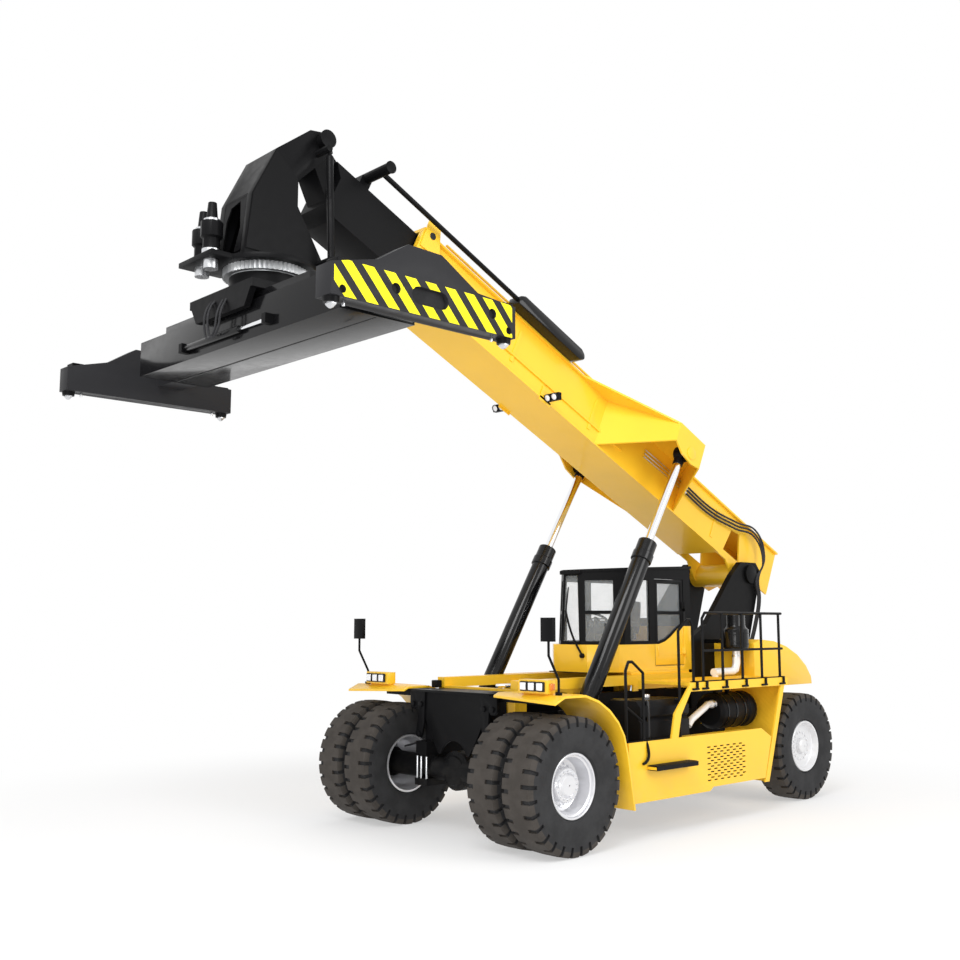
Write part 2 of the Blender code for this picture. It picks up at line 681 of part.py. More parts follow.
def counterweight(looks, machine):
    front = DECK_Y1 + GAP
    side_view = [(front, 1.78), (front, 2.46), (5.20, 2.52), (5.60, 2.49), (5.97, 2.40)]
    side_view += [(6.30, 2.26), (6.55, 2.08), (6.70, 1.90), (6.72, 1.78)]
    sides = both([prism(side_view, TOWER_OUT + GAP, 1.34)])
    rear_view = [(6.46, 1.77), (6.46, 2.12), (6.55, 2.08), (6.70, 1.90), (6.72, 1.77)]
    back = prism(rear_view, -TOWER_OUT - 0.05, TOWER_OUT + 0.05)
    tail_view = [(6.42, 1.80), (6.60, 1.80), (6.86, 1.60), (6.86, 0.60), (6.74, 0.50), (6.42, 0.50)]
    tail = prism(tail_view, -0.42, 0.42)
    piece("counterweight", looks["yellow"], machine, sides + [back, tail])


def steer_axle(looks, machine):
    right_half = [(-0.28, SPINE_LOW - GAP), (-0.92, 0.92), (-0.92, 0.74), (-0.30, 0.64)]
    left_half = [(-x, z) for x, z in reversed(right_half)]
    beam = prism(right_half + left_half, WHEELBASE - 0.17, WHEELBASE + 0.17, "Y")
    ears = []
    for z0, z1 in ((0.56, 0.66), (1.00, 1.10)):
        ears.append(turned([(0, 0.12), (z1 - z0, 0.12)], (KINGPIN_X, WHEELBASE, z0), (0, 0, 1), 20))
        ears.append(block((0.82, KINGPIN_X), (WHEELBASE - 0.11, WHEELBASE + 0.11), (z0, z1)))
    ears.append(block((0.82, 0.90), (WHEELBASE - 0.11, WHEELBASE + 0.11), (0.56, 1.10)))
    cutters = both([bar((KINGPIN_X, WHEELBASE, 0.3), (KINGPIN_X, WHEELBASE, 1.4), 0.0735, 16)])
    piece("steer_axle", looks["black"], machine, [beam] + both(ears), cutters)


def muffler(looks, machine):
    """Drum under the left walkway and the bright pipe that leaves its front end."""
    x, y, z = 1.42, 3.66, 1.49
    profile = [(0, 0.21), (0.05, 0.26), (0.62, 0.26), (0.63, 0.245)]
    profile += [(0.70, 0.245), (0.71, 0.26), (0.88, 0.26), (0.94, 0.20)]
    drum = turned(profile, (x, y, z), (0, 1, 0), 20)
    hangers = []
    for start in (y + 0.15, y + 0.45):
        hangers.append(block((x - 0.03, x + 0.03), (start, start + 0.06), (z + 0.18, DECK_Z - 0.04 - GAP)))
    piece("muffler", looks["black"], machine, [drum] + hangers)
    route = [(1.52, y - GAP, 1.60), (1.52, y - 0.10, 1.60), (1.55, 3.44, 1.60), (1.58, 3.34, 1.57)]
    route += [(1.60, 2.98, 1.42), (1.61, 2.88, 1.34)]
    piece("exhaust_pipe", looks["steel"], machine, [pipe(route, 0.05, 12)])


def air_cleaner(looks, machine):
    """Upright cleaner behind the tower with the bright pipe that carries its air down to the deck."""
    x, y, z = 1.16, 4.80, 2.36
    profile = [(0, 0.17), (0.04, 0.20), (0.32, 0.20), (0.34, 0.17), (0.38, 0.15), (0.54, 0.15)]
    drum = turned(profile, (x, y, z), (0, 0, 1), 20)
    bracket = block((TOWER_OUT + GAP, x), (y - 0.04, y + 0.04), (z + 0.10, z + 0.16))
    piece("air_cleaner", looks["black"], machine, [drum, bracket])
    start = DECK_Z + INTAKE_R + 0.01
    route = [(x, y, z - GAP), (x, y, 2.16), (x, y - 0.04, start + 0.03), (x, y - 0.13, start)]
    route.append((x, 4.18, start))
    foot = bar((x, 4.22, DECK_Z + GAP), (x, 4.22, start), INTAKE_R * 0.8, 12)
    piece("intake_pipe", looks["steel"], machine, [pipe(route, INTAKE_R, 12), foot])


def tank(side, name, looks, machine):
    """Tank beside the frame with rounded corners and a shoulder along its upper part."""
    y1 = 2.70 if side > 0 else 3.95
    view = [
        (1.22, 0.62),
        (1.69, 0.62),
        (1.77, 0.70),
        (1.77, 1.46),
        (1.73, 1.50),
        (1.77, 1.54),
        (1.77, 1.66),
        (1.69, 1.74),
        (1.25, 1.74),
        (1.17, 1.66),
        (1.17, 0.68),
    ]
    shell = prism(view, 1.62, y1, "Y")
    saddle = block((RAIL_OUT + GAP, 1.20), (1.60, 1.74), (1.12, 1.26))
    add = [shell, saddle]
    if side < 0:
        add = [mirrored(shell) for shell in add]
    piece(f"tank_{name}", looks["black"], machine, add)


def cab_rails(looks, machine):
    """Two rails that the cab slides on, on cross beams and posts from the frame."""
    rail = block((CAB_RAIL_IN, CAB_RAIL_OUT), (HEADER_REAR + 0.02, 4.14), (CAB_RAIL_LOW, CAB_RAIL_TOP))
    tab_height = (CAB_RAIL_LOW - 0.09, CAB_RAIL_LOW + 0.01)
    tab = block((CAB_RAIL_OUT - 0.03, CAB_RAIL_OUT), (2.69, 2.80), tab_height)
    beam_height = (HOOD_TOP + 0.02, CAB_RAIL_LOW + 0.02)
    post_height = (RAIL_TOP + GAP, HOOD_TOP + 0.03)
    beams, posts = [], []
    for y in (HEADER_REAR + 0.04, 1.62, 3.90):
        beams.append(block((-CAB_RAIL_OUT, CAB_RAIL_OUT), (y, y + 0.14), beam_height))
        posts.append(block((RAIL_IN + 0.01, RAIL_OUT - 0.015), (y, y + 0.14), post_height))
    piece("cab_rails", looks["yellow"], machine, beams + both([rail, tab] + posts))


def front_lights(side, name, looks, machine):
    """Lamp box on the fender with three round lamps, and the mirror on its bent stalk."""
    top = FENDER_TOP + PLATE
    box = block((1.305, 1.797), (-0.20, -0.06), (top + 0.02, top + 0.18))
    foot = block((1.33, 1.77), (-0.14, -0.06), (top + GAP, top + 0.03))
    height = top + 0.10
    lamps = [bar((x, -0.215, height), (x, -0.19, height), 0.055, 16) for x in (1.415, 1.555, 1.695)]
    x, y = 1.89, -0.10
    head_y = y - 0.17
    route = [(x, y, top + 0.02), (x, y, 2.09), (x - 0.005, head_y, 2.38), (x - 0.005, head_y, 2.60)]
    stalk = pipe(route, 0.016)
    base = block((x - 0.03, x + 0.03), (y - 0.03, y + 0.03), (top + GAP, top + 0.03))
    head = block((x - 0.11, x + 0.09), (y - 0.20, y - 0.145), (2.55, 2.84))
    lights, mirror = [box, foot] + lamps, [base, stalk, head]
    if side < 0:
        lights = [mirrored(shell) for shell in lights]
        mirror = [mirrored(shell) for shell in mirror]
    piece(f"lights_{name}", looks["yellow"], machine, lights)
    piece(f"mirror_{name}", looks["black"], machine, mirror)


# Cab


def door_hinge(z, height, radius):
    return bar((HINGE_X, HINGE_Y, z), (HINGE_X, HINGE_Y, z + height), radius, 12)


def cab_plan(flat, front, inset=0.0):
    """Plan with the front corners cut at 45 degrees: the flat front's half width and its place."""
    half, nose = CAB_HALF - inset, front + inset
    corner = flat - inset * (math.sqrt(2) - 1)
    shoulder = nose + half - corner
    back = CAB_REAR - inset
    right_half = [(-half, back), (-half, shoulder), (-corner, nose)]
    return right_half + [(-x, y) for x, y in reversed(right_half)]


def roof_height(y, above=0.0):
    return ROOF_TOP + ROOF_RISE * (y - CAB_FRONT) / (CAB_REAR - CAB_FRONT) + above


def flat_ring(plan, z):
    return [(x, y, z) for x, y in plan]


def roof_ring(plan, above):
    return [(x, y, roof_height(y, above)) for x, y in plan]


def hinge_ear(z):
    """Fixed half of a hinge on the cab's side, under the door's half."""
    arm = block((CAB_HALF - 0.005, HINGE_X + 0.01), (HINGE_Y + 0.002, HINGE_Y + 0.06), (z - 0.04, z))
    return [door_hinge(z - 0.04, 0.04, HINGE_R), arm]


def door_half(z):
    """The door's half of a hinge."""
    leaf = block((DOOR_OUT - 0.004, HINGE_X), (HINGE_Y - 0.07, HINGE_Y - 0.004), (z + GAP, z + 0.10))
    return [door_hinge(z + GAP, 0.10, HINGE_R), leaf]


def sill_curve(lift):
    """The sill from the door's front to the cab's rear, where it sweeps up."""
    return [
        (DOOR_Y0 + 0.10, SILL_Z + lift),
        (3.66, SILL_Z + 0.04 + lift),
        (3.80, SILL_Z + 0.11 + lift),
        (3.98, SILL_Z + 0.23 + lift),
        (4.09, SILL_Z + 0.27 + lift),
        (CAB_REAR + 0.1, SILL_Z + 0.27 + lift),
    ]


def corner_window(z0, z1):
    """Cutter through the slanted pane beside the windshield."""
    along_pane, outwards = Vector((1, 1, 0)).normalized(), Vector((1, -1, 0)).normalized()
    corner = Vector((SCREEN_LOW, CAB_FRONT, 0))
    plan = []
    for reach, out in ((0.08, -0.2), (0.08, 0.2), (0.50, 0.2), (0.50, -0.2)):
        point = corner + along_pane * reach + outwards * out
        plan.append((point.x, point.y))
    return prism(plan, z0, z1, "Z")


def side_window(y0, y1, z0=None):
    low = SILL_Z + 0.05 if z0 is None else z0
    return block((CAB_HALF - 0.2, CAB_HALF + 0.2), (y0, y1), (low, ROOF_TOP - 0.15))


def cab_shell(looks, machine, origin):
    """Yellow base with the swept sill, and the black frame of pillars and roof on it."""
    base = loft([flat_ring(cab_plan(CAB_FLAT, CAB_FRONT), z) for z in (CAB_Z0, SILL_Z)])
    cheek_view = sill_curve(0) + [(CAB_REAR + 0.1, SILL_Z - 0.1), (DOOR_Y0 + 0.10, SILL_Z - 0.1)]
    cheeks = prism([(min(y, CAB_REAR), z) for y, z in cheek_view], -CAB_HALF, CAB_HALF)
    lower = loft([flat_ring(cab_plan(CAB_FLAT, CAB_FRONT, CAB_WALL), z) for z in (FLOOR_Z, SILL_Z - PLATE)])
    upper_plan = cab_plan(SCREEN_LOW, CAB_FRONT + 0.01, CAB_WALL)
    upper = loft([flat_ring(upper_plan, z) for z in (SILL_Z - 0.1, SILL_Z + 0.6)])
    doorway = block((CAB_HALF - 0.1, CAB_HALF + 0.1), (DOOR_Y0, DOOR_Y1), (DOOR_LOW, DOOR_TOP))
    skid_height = (CAB_RAIL_TOP + GAP, CAB_Z0 + 0.01)
    skid = block((CAB_RAIL_IN - 0.06, CAB_RAIL_OUT - 0.04), (2.70, 4.10), skid_height)
    add = [base, cheeks] + both([skid]) + hinge_ear(HINGE_HEIGHTS[0])
    piece("cab_body", looks["yellow"], machine, add, [lower, upper, doorway], origin)

    low_ring = flat_ring(cab_plan(SCREEN_LOW, CAB_FRONT + 0.01), SILL_Z + GAP)
    shell = loft([low_ring, roof_ring(cab_plan(SCREEN_TOP, CAB_FRONT + SCREEN_LEAN), 0)])
    inner_top = roof_ring(cab_plan(SCREEN_TOP, CAB_FRONT + SCREEN_LEAN, CAB_WALL), -ROOF_PLATE)
    inside = loft([flat_ring(upper_plan, SILL_Z - 0.1), inner_top])
    brim = cab_plan(SCREEN_TOP, CAB_FRONT + SCREEN_LEAN, -0.02)
    cap = loft([roof_ring(brim, -0.04), roof_ring(brim, 0.001)])
    under_view = sill_curve(GAP) + [(CAB_REAR + 0.1, SILL_Z - 0.1), (DOOR_Y0 + 0.10, SILL_Z - 0.1)]
    low, high = SILL_Z + 0.05, ROOF_TOP - 0.09
    screen_view = [(-0.17, low), (0.17, low), (0.125, high), (-0.125, high)]
    corners = [corner_window(low, MID_BAR - 0.05), corner_window(MID_BAR, ROOF_TOP - 0.16)]
    cuts = [
        inside,
        prism(under_view, -1, 1),
        prism(screen_view, CAB_FRONT - 0.2, CAB_FRONT + 0.2, "Y"),
        block((-0.50, 0.50), (CAB_REAR - 0.2, CAB_REAR + 0.2), (SILL_Z + 0.40, ROOF_TOP - 0.06)),
        side_window(2.82, 3.27),
        mirrored(side_window(2.82, DOOR_Y0 - 0.12)),
        mirrored(side_window(DOOR_Y0, DOOR_Y1 - 0.05, SILL_Z + 0.36)),
        block((CAB_HALF - 0.1, CAB_HALF + 0.1), (DOOR_Y0, DOOR_Y1), (CAB_Z0, DOOR_TOP)),
    ]
    add = [shell, cap] + hinge_ear(HINGE_HEIGHTS[1])
    piece("cab_frame", looks["black"], machine, add, cuts + both(corners), origin)


def cab_door(looks, machine):
    """Door leaf: yellow up to the swept sill, with a black window frame above it."""
    hinge_line = (HINGE_X, HINGE_Y, CAB_Z0)
    y0, y1 = DOOR_Y0 + DOOR_GAP, HINGE_Y
    low_view = [(y0, DOOR_LOW + DOOR_GAP), (y1, DOOR_LOW + DOOR_GAP)]
    swept = [(y0, SILL_Z)] + [(y, z) for y, z in sill_curve(0) if y < y1] + [(y1, SILL_Z + 0.27)]
    panel = prism(low_view + list(reversed(swept)), CAB_HALF - CAB_WALL, DOOR_OUT)
    handle = bar((DOOR_OUT + 0.002, y0 + 0.07, 2.28), (DOOR_OUT + 0.002, y0 + 0.07, 2.42), 0.012)
    add = [panel, handle] + door_half(HINGE_HEIGHTS[0])
    piece("cab_door", looks["yellow"], machine, add, (), hinge_line)
    raised = [(y, z + GAP) for y, z in swept]
    high = DOOR_TOP - DOOR_GAP
    frame = prism([(y0, high)] + raised + [(y1, high)], CAB_HALF - CAB_WALL, DOOR_OUT)
    panes = []
    for z0, z1 in ((SILL_Z, MID_BAR - 0.05), (MID_BAR, DOOR_TOP - 0.07)):
        view = [(y0 + 0.07, z0), (y1 - 0.06, z0), (y1 - 0.06, z1), (y0 + 0.07, z1)]
        panes.append(prism(view, CAB_HALF - 0.2, CAB_HALF + 0.1))
    keep_view = [(y, z - 0.2) for y, z in raised] + [(y, z + 0.04) for y, z in reversed(raised)]
    panes[0] = trimmed(panes[0], prism(keep_view, CAB_HALF - 0.3, CAB_HALF + 0.2))
    add = [frame] + door_half(HINGE_HEIGHTS[1])
    piece("cab_door_frame", looks["black"], machine, add, panes, hinge_line)


def cab_inside(looks, machine, origin):
    """Seat with its armrests, and the steering column with its wheel."""
    floor = FLOOR_Z + GAP
    seat = [
        block((-0.25, 0.25), (3.02, 3.52), (2.50, 2.64)),
        prism([(3.44, 2.56), (3.54, 2.56), (3.62, 3.10), (3.54, 3.13)], -0.24, 0.24),
        block((-0.20, 0.20), (3.08, 3.46), (floor, 2.52)),
    ]
    rests = [
        block((0.28, 0.36), (3.04, 3.46), (2.72, 2.80)),
        block((0.24, 0.32), (3.24, 3.36), (2.54, 2.74)),
    ]
    piece("cab_seat", looks["cloth"], machine, seat + both(rests), (), origin)
    hub = Vector((0, 2.82, 2.84))
    lean = (0, 0.50, 0.87)
    console = [
        block((-0.14, 0.14), (2.48, 2.62), (floor, 2.50)),
        bar((0, 2.56, 2.45), hub, 0.03),
        hoop([(-0.015, 0.16), (0.015, 0.16), (0.015, 0.19), (-0.015, 0.19)], hub, lean, 20),
        turned([(-0.012, 0.05), (0.012, 0.05)], hub, lean, 12),
        bar(hub - Vector((0.17, 0, 0)), hub + Vector((0.17, 0, 0)), 0.012),
    ]
    piece("cab_controls", looks["black"], machine, console, (), origin)


# Boom, in its own frame: local y is rearwards, so a point (x, u, v) sits at (x, -u, v)


def along(x, u, v):
    return (x, -u, v)


def boom_block(x, u, v):
    return block(x, (-u[1], -u[0]), v)


def boom_prism(outline, x0, x1):
    return prism([(-u, v) for u, v in outline], x0, x1)


def wing_wall(reach, low, thick, lid):
    """Upright plate from the boom's side out to the wing's tip, with a lower edge that rises."""
    rings = []
    for shift in (0, thick):
        rings.append(
            [
                along(BOOM_HALF - 0.02, reach[0] + shift, low[0]),
                along(WING_TIP, reach[1] + shift, low[1]),
                along(WING_TIP, reach[1] + shift, lid),
                along(BOOM_HALF - 0.02, reach[0] + shift, lid),
            ]
        )
    return loft(rings)


def boom_outer(looks, boom):
    h = BOOM_HALF
    flange = (-h - 0.05, h + 0.05)
    side = boom_block((h - BOOM_WALL, h), (BOOM_REAR, BOOM_FRONT), (BOOM_LOW, BOOM_TOP))
    foot_low = BOOM_LOW + 0.1
    foot_view = [(-0.62, foot_low), (-0.30, -0.14), (0.16, -0.16), (0.62, foot_low)]
    foot = boom_prism(foot_view, h - BOOM_WALL, h)
    top = boom_block(flange, (BOOM_REAR, BOOM_FRONT), (BOOM_TOP - BOOM_WALL, BOOM_TOP))
    bottom = boom_block((-h - 0.02, h + 0.02), (0.72, BOOM_FRONT), (BOOM_LOW, BOOM_LOW + BOOM_WALL))
    tail_run = (BOOM_REAR + 0.02, BOOM_REAR + 0.05)
    tail = boom_block((-h + 0.01, h - 0.01), tail_run, (BOOM_LOW + 0.2, BOOM_TOP - 0.01))
    collar = boom_block(flange, (BOOM_FRONT - 0.16, BOOM_FRONT), (BOOM_LOW - 0.03, BOOM_TOP + 0.02))
    hub = bar((-TOWER_IN + GAP, 0, 0), (TOWER_IN - GAP, 0, 0), 0.19, 24)
    pad_run = (BOOM_FRONT - 0.45, BOOM_FRONT - 0.05)
    pad = boom_block((-0.25, 0.25), pad_run, (BOOM_LOW + 0.01, INNER_LOW - GAP))
    pin = bar((-TOWER_OUT - 0.03, 0, 0), (TOWER_OUT + 0.03, 0, 0), PIVOT_R, 24)
    window = boom_prism([(0.10, 0.18), (0.60, 0.18), (0.50, 0.60), (0.26, 0.64)], -1, 1)
    bore_height = (INNER_LOW - GAP, BOOM_TOP - 0.036)
    bore = boom_block((-h + 0.04, h - 0.04), (BOOM_FRONT - 0.5, BOOM_FRONT + 0.1), bore_height)
    roof = prism(
        [(h - 0.02, -WING_REACH), (h - 0.02, -1.85), (WING_TIP, -WING_REAR), (WING_TIP, -WING_FRONT)],
        BOOM_TOP - BOOM_WALL,
        BOOM_TOP,
        "Z",
    )
    lid = BOOM_TOP - 0.01
    front_wall = wing_wall((4.20, WING_FRONT), (BOOM_LOW, WING_LIP), -BOOM_WALL, lid)
    rear_wall = wing_wall((2.05, WING_REAR), (BOOM_LOW, WING_LIP - 0.12), BOOM_WALL, lid)
    cap_outline = [
        (WING_FRONT, lid),
        (WING_FRONT, WING_LIP),
        (WING_FRONT - 0.20, WING_LIP - 0.12),
        (WING_FRONT - 0.46, WING_LIP - 0.16),
        (WING_REAR, WING_LIP - 0.12),
        (WING_REAR, lid),
    ]
    cap = boom_prism(cap_outline, WING_TIP - BOOM_WALL, WING_TIP)
    wings = both([roof, front_wall, rear_wall, cap])
    piece(
        "boom_outer",
        looks["yellow"],
        boom,
        [top, bottom] + both([side, foot]) + [tail, collar, hub, pin, pad] + wings,
        [window, bore],
    )


def boom_inner(looks, boom):
    """Inner boom with its nose and head pin, and the cross tube with the two guide rods behind it."""
    side_view = [
        (INNER_REAR, INNER_LOW),
        (INNER_FRONT - 0.30, INNER_LOW),
        (INNER_FRONT - 0.14, INNER_LOW + 0.14),
        (INNER_FRONT - 0.14, INNER_TOP - 0.16),
        (INNER_FRONT, INNER_TOP),
        (INNER_REAR, INNER_TOP),
    ]
    tube = boom_prism(side_view, -INNER_HALF, INNER_HALF)
    nose_view = [
        (INNER_FRONT - 0.30, INNER_LOW + 0.1),
        (INNER_FRONT - 0.30, INNER_TOP - 0.01),
        (HEAD_U - 0.05, HEAD_V + 0.14),
        (HEAD_U + 0.10, HEAD_V + 0.10),
        (HEAD_U + 0.14, HEAD_V - 0.06),
        (HEAD_U + 0.02, HEAD_V - 0.16),
    ]
    nose = boom_prism(nose_view, -0.20, 0.20)
    pin = bar(along(-HEAD_PIN_END, HEAD_U, HEAD_V), along(HEAD_PIN_END, HEAD_U, HEAD_V), HEAD_PIN_R, 20)
    boss = bar(along(-CHEEK_IN + GAP, HEAD_U, HEAD_V), along(CHEEK_IN - GAP, HEAD_U, HEAD_V), 0.15, 20)
    pad_height = (INNER_TOP - 0.01, BOOM_TOP - BOOM_WALL - GAP)
    pad = boom_block((-0.24, 0.24), (INNER_REAR + 0.02, INNER_REAR + 0.40), pad_height)
    cross = bar(along(-CROSS_HALF, CROSS_U, ROD_V), along(CROSS_HALF, CROSS_U, ROD_V), 0.07, 16)
    saddle = boom_block((-0.30, 0.30), (CROSS_U - 0.08, CROSS_U + 0.08), (INNER_TOP - 0.02, ROD_V))
    rod_ends = [along(GUIDE_X, u, ROD_V) for u in (TRAY_FRONT + GAP, CROSS_U)]
    rods = both([bar(*rod_ends, GUIDE_R, 12)])
    piece("boom_inner", looks["black"], boom, [tube, nose, pin, boss, cross, saddle, pad] + rods)


def guide_tray(side, name, looks, boom):
    """Long cover on the boom's top that the guide rod runs up to, with its ends rounded."""
    view = [
        (TRAY_REAR + 0.10, BOOM_TOP + GAP),
        (TRAY_FRONT, BOOM_TOP + GAP),
        (TRAY_FRONT, BOOM_TOP + 0.13),
        (TRAY_FRONT - 0.08, BOOM_TOP + 0.18),
        (TRAY_REAR + 0.12, BOOM_TOP + 0.18),
        (TRAY_REAR + 0.03, BOOM_TOP + 0.14),
        (TRAY_REAR, BOOM_TOP + 0.06),
    ]
    tray = boom_prism(view, GUIDE_X - 0.19, GUIDE_X + 0.07)
    if side < 0:
        tray = mirrored(tray)
    piece(f"guide_tray_{name}", looks["black"], boom, [tray])


# Head and spreader, placed from the front axle


def yoke(looks, machine, origin):
    """Head on the boom's pin: two windowed cheeks, the slew ring's base, motors and dampers."""
    py, pz = origin[1], origin[2]
    outline = [
        (py + 0.16, pz - 0.10),
        (py + 0.10, pz + 0.14),
        (py - 0.18, pz + 0.10),
        (py - 0.66, pz - 0.28),
        (py - 0.98, pz - 0.92),
        (py - 1.06, RING_Z1 + 0.05),
        (py - 0.02, RING_Z1 + 0.05),
        (py + 0.02, RING_Z1 + 0.20),
        (py - 0.34, RING_Z1 + 0.80),
        (py - 0.34, pz - 0.60),
    ]
    cheeks = both([prism(outline, CHEEK_IN, CHEEK_OUT)])
    window_view = [(py - 0.78, pz - 0.98), (py - 0.93, RING_Z1 + 0.18), (py - 0.52, RING_Z1 + 0.44)]
    window = prism(window_view, -1, 1)
    slope = [(py - 0.66, pz - 0.28), (py - 0.98, pz - 0.92)]
    front_view = slope + [(y + 0.04, z) for y, z in reversed(slope)]
    front = prism(front_view, -CHEEK_IN - 0.06, CHEEK_IN + 0.06)
    floor = RING_Z1 + GAP
    base = turned([(0, 0.62), (0.06, 0.62)], (0, SPREADER_Y, floor), (0, 0, 1), 28)
    apron = block((-0.56, 0.20), (SPREADER_Y - 0.86, SPREADER_Y - 0.3), (floor, floor + 0.06))
    motor = [(0, 0.10), (0.22, 0.10), (0.24, 0.13), (0.42, 0.13), (0.44, 0.07), (0.66, 0.05)]
    motors = []
    for x, y in ((-0.36, SPREADER_Y - 0.66), (-0.02, SPREADER_Y - 0.74)):
        motors.append(turned(motor, (x, y, RING_Z1 + 0.03), (0, 0, 1), 12))
    low = Vector((DAMPER_X, py + 0.02, RING_Z1 + 0.14))
    high = Vector((DAMPER_X, py - 0.03, pz - 0.18))
    middle = low.lerp(high, 0.55)
    dampers = [bar(low, middle, 0.045, 10), bar(middle, high, 0.025, 8)]
    for _, y, z in (low, high):
        dampers.append(bar((CHEEK_OUT - 0.02, y - 0.04, z), (DAMPER_X + 0.06, y - 0.04, z), 0.045, 8))
    bore = bar((-1, py, pz), (1, py, pz), HEAD_PIN_R + 0.003, 20)
    add = [base] + cheeks + [front, apron] + motors + both(dampers)
    piece("yoke", looks["black"], machine, add, [window, bore], origin)


def rotator(looks, machine):
    """Toothed ring with the saddle that carries the spreader's main beam."""
    origin = (0, SPREADER_Y, RING_Z0)
    edge = []
    for i in range(2 * TEETH):
        angle = math.pi * i / TEETH
        radius = RING_R - TOOTH * (i % 2)
        edge.append((radius * math.cos(angle), SPREADER_Y + radius * math.sin(angle)))
    ring = prism(edge, RING_Z0, RING_Z1, "Z")
    neck = turned([(0, 0.44), (0.30, 0.44)], (0, SPREADER_Y, SADDLE_Z + 0.05), (0, 0, 1), 32)
    plate = block((-0.70, 0.70), (SPREADER_Y - 0.62, SPREADER_Y + 0.62), (SADDLE_Z, SADDLE_Z + 0.10))
    cheeks = []
    for y0, y1 in ((SPREADER_Y - 0.62, SPREADER_Y - 0.54), (SPREADER_Y + 0.54, SPREADER_Y + 0.62)):
        high, low = SADDLE_Z + 0.06, MAIN_TOP - 0.10
        outline = [(-0.70, high), (-0.54, low), (0.54, low), (0.70, high)]
        cheeks.append(prism(outline, y0, y1, "Y"))
    piece("rotator", looks["steel"], machine, [plate, ring, neck] + cheeks, (), origin)


def spreader_beam(looks, machine):
    origin = (0, SPREADER_Y, MAIN_LOW)
    outer = block((-MAIN_HALF_X, MAIN_HALF_X), (SPREADER_Y - 0.50, SPREADER_Y + 0.50), (MAIN_LOW, MAIN_TOP))
    tunnels = []
    for y0, y1 in ((SPREADER_Y - 0.44, SPREADER_Y - 0.03), (SPREADER_Y + 0.03, SPREADER_Y + 0.44)):
        tunnels.append(block((-3, 3), (y0, y1), (MAIN_LOW + 0.04, MAIN_TOP - 0.06)))
    slides = []
    for y0, y1 in ((SPREADER_Y - 0.46, SPREADER_Y - 0.36), (SPREADER_Y + 0.36, SPREADER_Y + 0.46)):
        slides.append(block((-1.60, 1.60), (y0, y1), (MAIN_TOP - 0.01, SADDLE_Z - GAP)))
    piece("spreader_beam", looks["black"], machine, [outer] + slides, tunnels, origin)


def spreader_end(side, name, looks, machine):
    """Telescopic arm with the end beam, which tapers up to a hump over the arm, and its twistlocks."""
    y0, y1 = (SPREADER_Y - 0.42, SPREADER_Y - 0.05) if side > 0 else (SPREADER_Y + 0.05, SPREADER_Y + 0.42)
    arm = block((ARM_REACH, END_BEAM_X0 + 0.05), (y0, y1), (MAIN_LOW + 0.04 + GAP, MAIN_TOP - 0.08))
    yf, yb = SPREADER_Y - END_BEAM_HALF, SPREADER_Y + END_BEAM_HALF
    outline = [
        (yf, END_BEAM_LOW),
        (yb, END_BEAM_LOW),
        (yb, END_BEAM_TOP),
        (SPREADER_Y + 0.66, END_BEAM_TOP + 0.04),
        (SPREADER_Y + 0.16, END_BEAM_TOP + 0.33),
        (SPREADER_Y - 0.28, END_BEAM_TOP + 0.34),
        (SPREADER_Y - 0.66, END_BEAM_TOP + 0.10),
        (yf, END_BEAM_TOP - 0.04),
    ]
    beam = prism(outline, END_BEAM_X0, END_BEAM_X1)
    slot_view = arc((SPREADER_Y - 0.14, 5.99), 0.09, 90, 270, 6)
    slot_view += arc((SPREADER_Y + 0.16, 5.99), 0.09, -90, 90, 6)
    cut = [prism(slot_view, END_BEAM_X1 - 0.06, END_BEAM_X1 + 0.1)]
    front_hole, rear_hole = -END_BEAM_HALF + 0.14, END_BEAM_HALF - 0.10
    holes = ((-0.43, 6.00, 0.055), (0.87, 6.00, 0.055), (front_hole, 5.86, 0.04), (rear_hole, 5.86, 0.04))
    for y, z, r in holes:
        start = (END_BEAM_X1 - 0.05, SPREADER_Y + y, z)
        cut.append(bar(start, (END_BEAM_X1 + 0.1, SPREADER_Y + y, z), r, 12))
    for s in (-1, 1):
        y = SPREADER_Y + s * CORNER_Y
        cut.append(bar((CORNER_X, y, 5.5), (CORNER_X, y, END_BEAM_LOW + 0.12), 0.052, 16))
    if side < 0:
        beam, arm = mirrored(beam), mirrored(arm)
        cut = [mirrored(shell) for shell in cut]
    origin = (side * END_BEAM_X0, SPREADER_Y, END_BEAM_LOW)
    piece(f"spreader_end_{name}", looks["black"], machine, [beam, arm], cut, origin)
    for s, word in ((-1, "front"), (1, "rear")):
        twistlock(side * CORNER_X, SPREADER_Y + s * CORNER_Y, f"{name}_{word}", looks, machine)


def twistlock(x, y, name, looks, machine):
    """Round neck with the pointed head that turns across the hole of a container's corner."""
    neck = bar((x, y, LOCK_LOW + 0.05), (x, y, END_BEAM_LOW + 0.12 - GAP), 0.042, 12)
    rings = []
    for z, a, b in ((0, 0.020, 0.012), (0.035, 0.052, 0.030), (0.075, 0.052, 0.030)):
        corners = [(x - a, y - b), (x + a, y - b), (x + a, y + b), (x - a, y + b)]
        rings.append(flat_ring(corners, LOCK_LOW + z))
    piece(f"twistlock_{name}", looks["steel"], machine, [neck, loft(rings)], (), (x, y, LOCK_LOW))


# Hoist cylinders


def boom_point(x, u, v):
    """A point of the boom's frame, placed from the front axle."""
    c, s = math.cos(BOOM_ANGLE), math.sin(BOOM_ANGLE)
    return Vector((x, PIVOT_Y - u * c + v * s, PIVOT_Z + u * s + v * c))


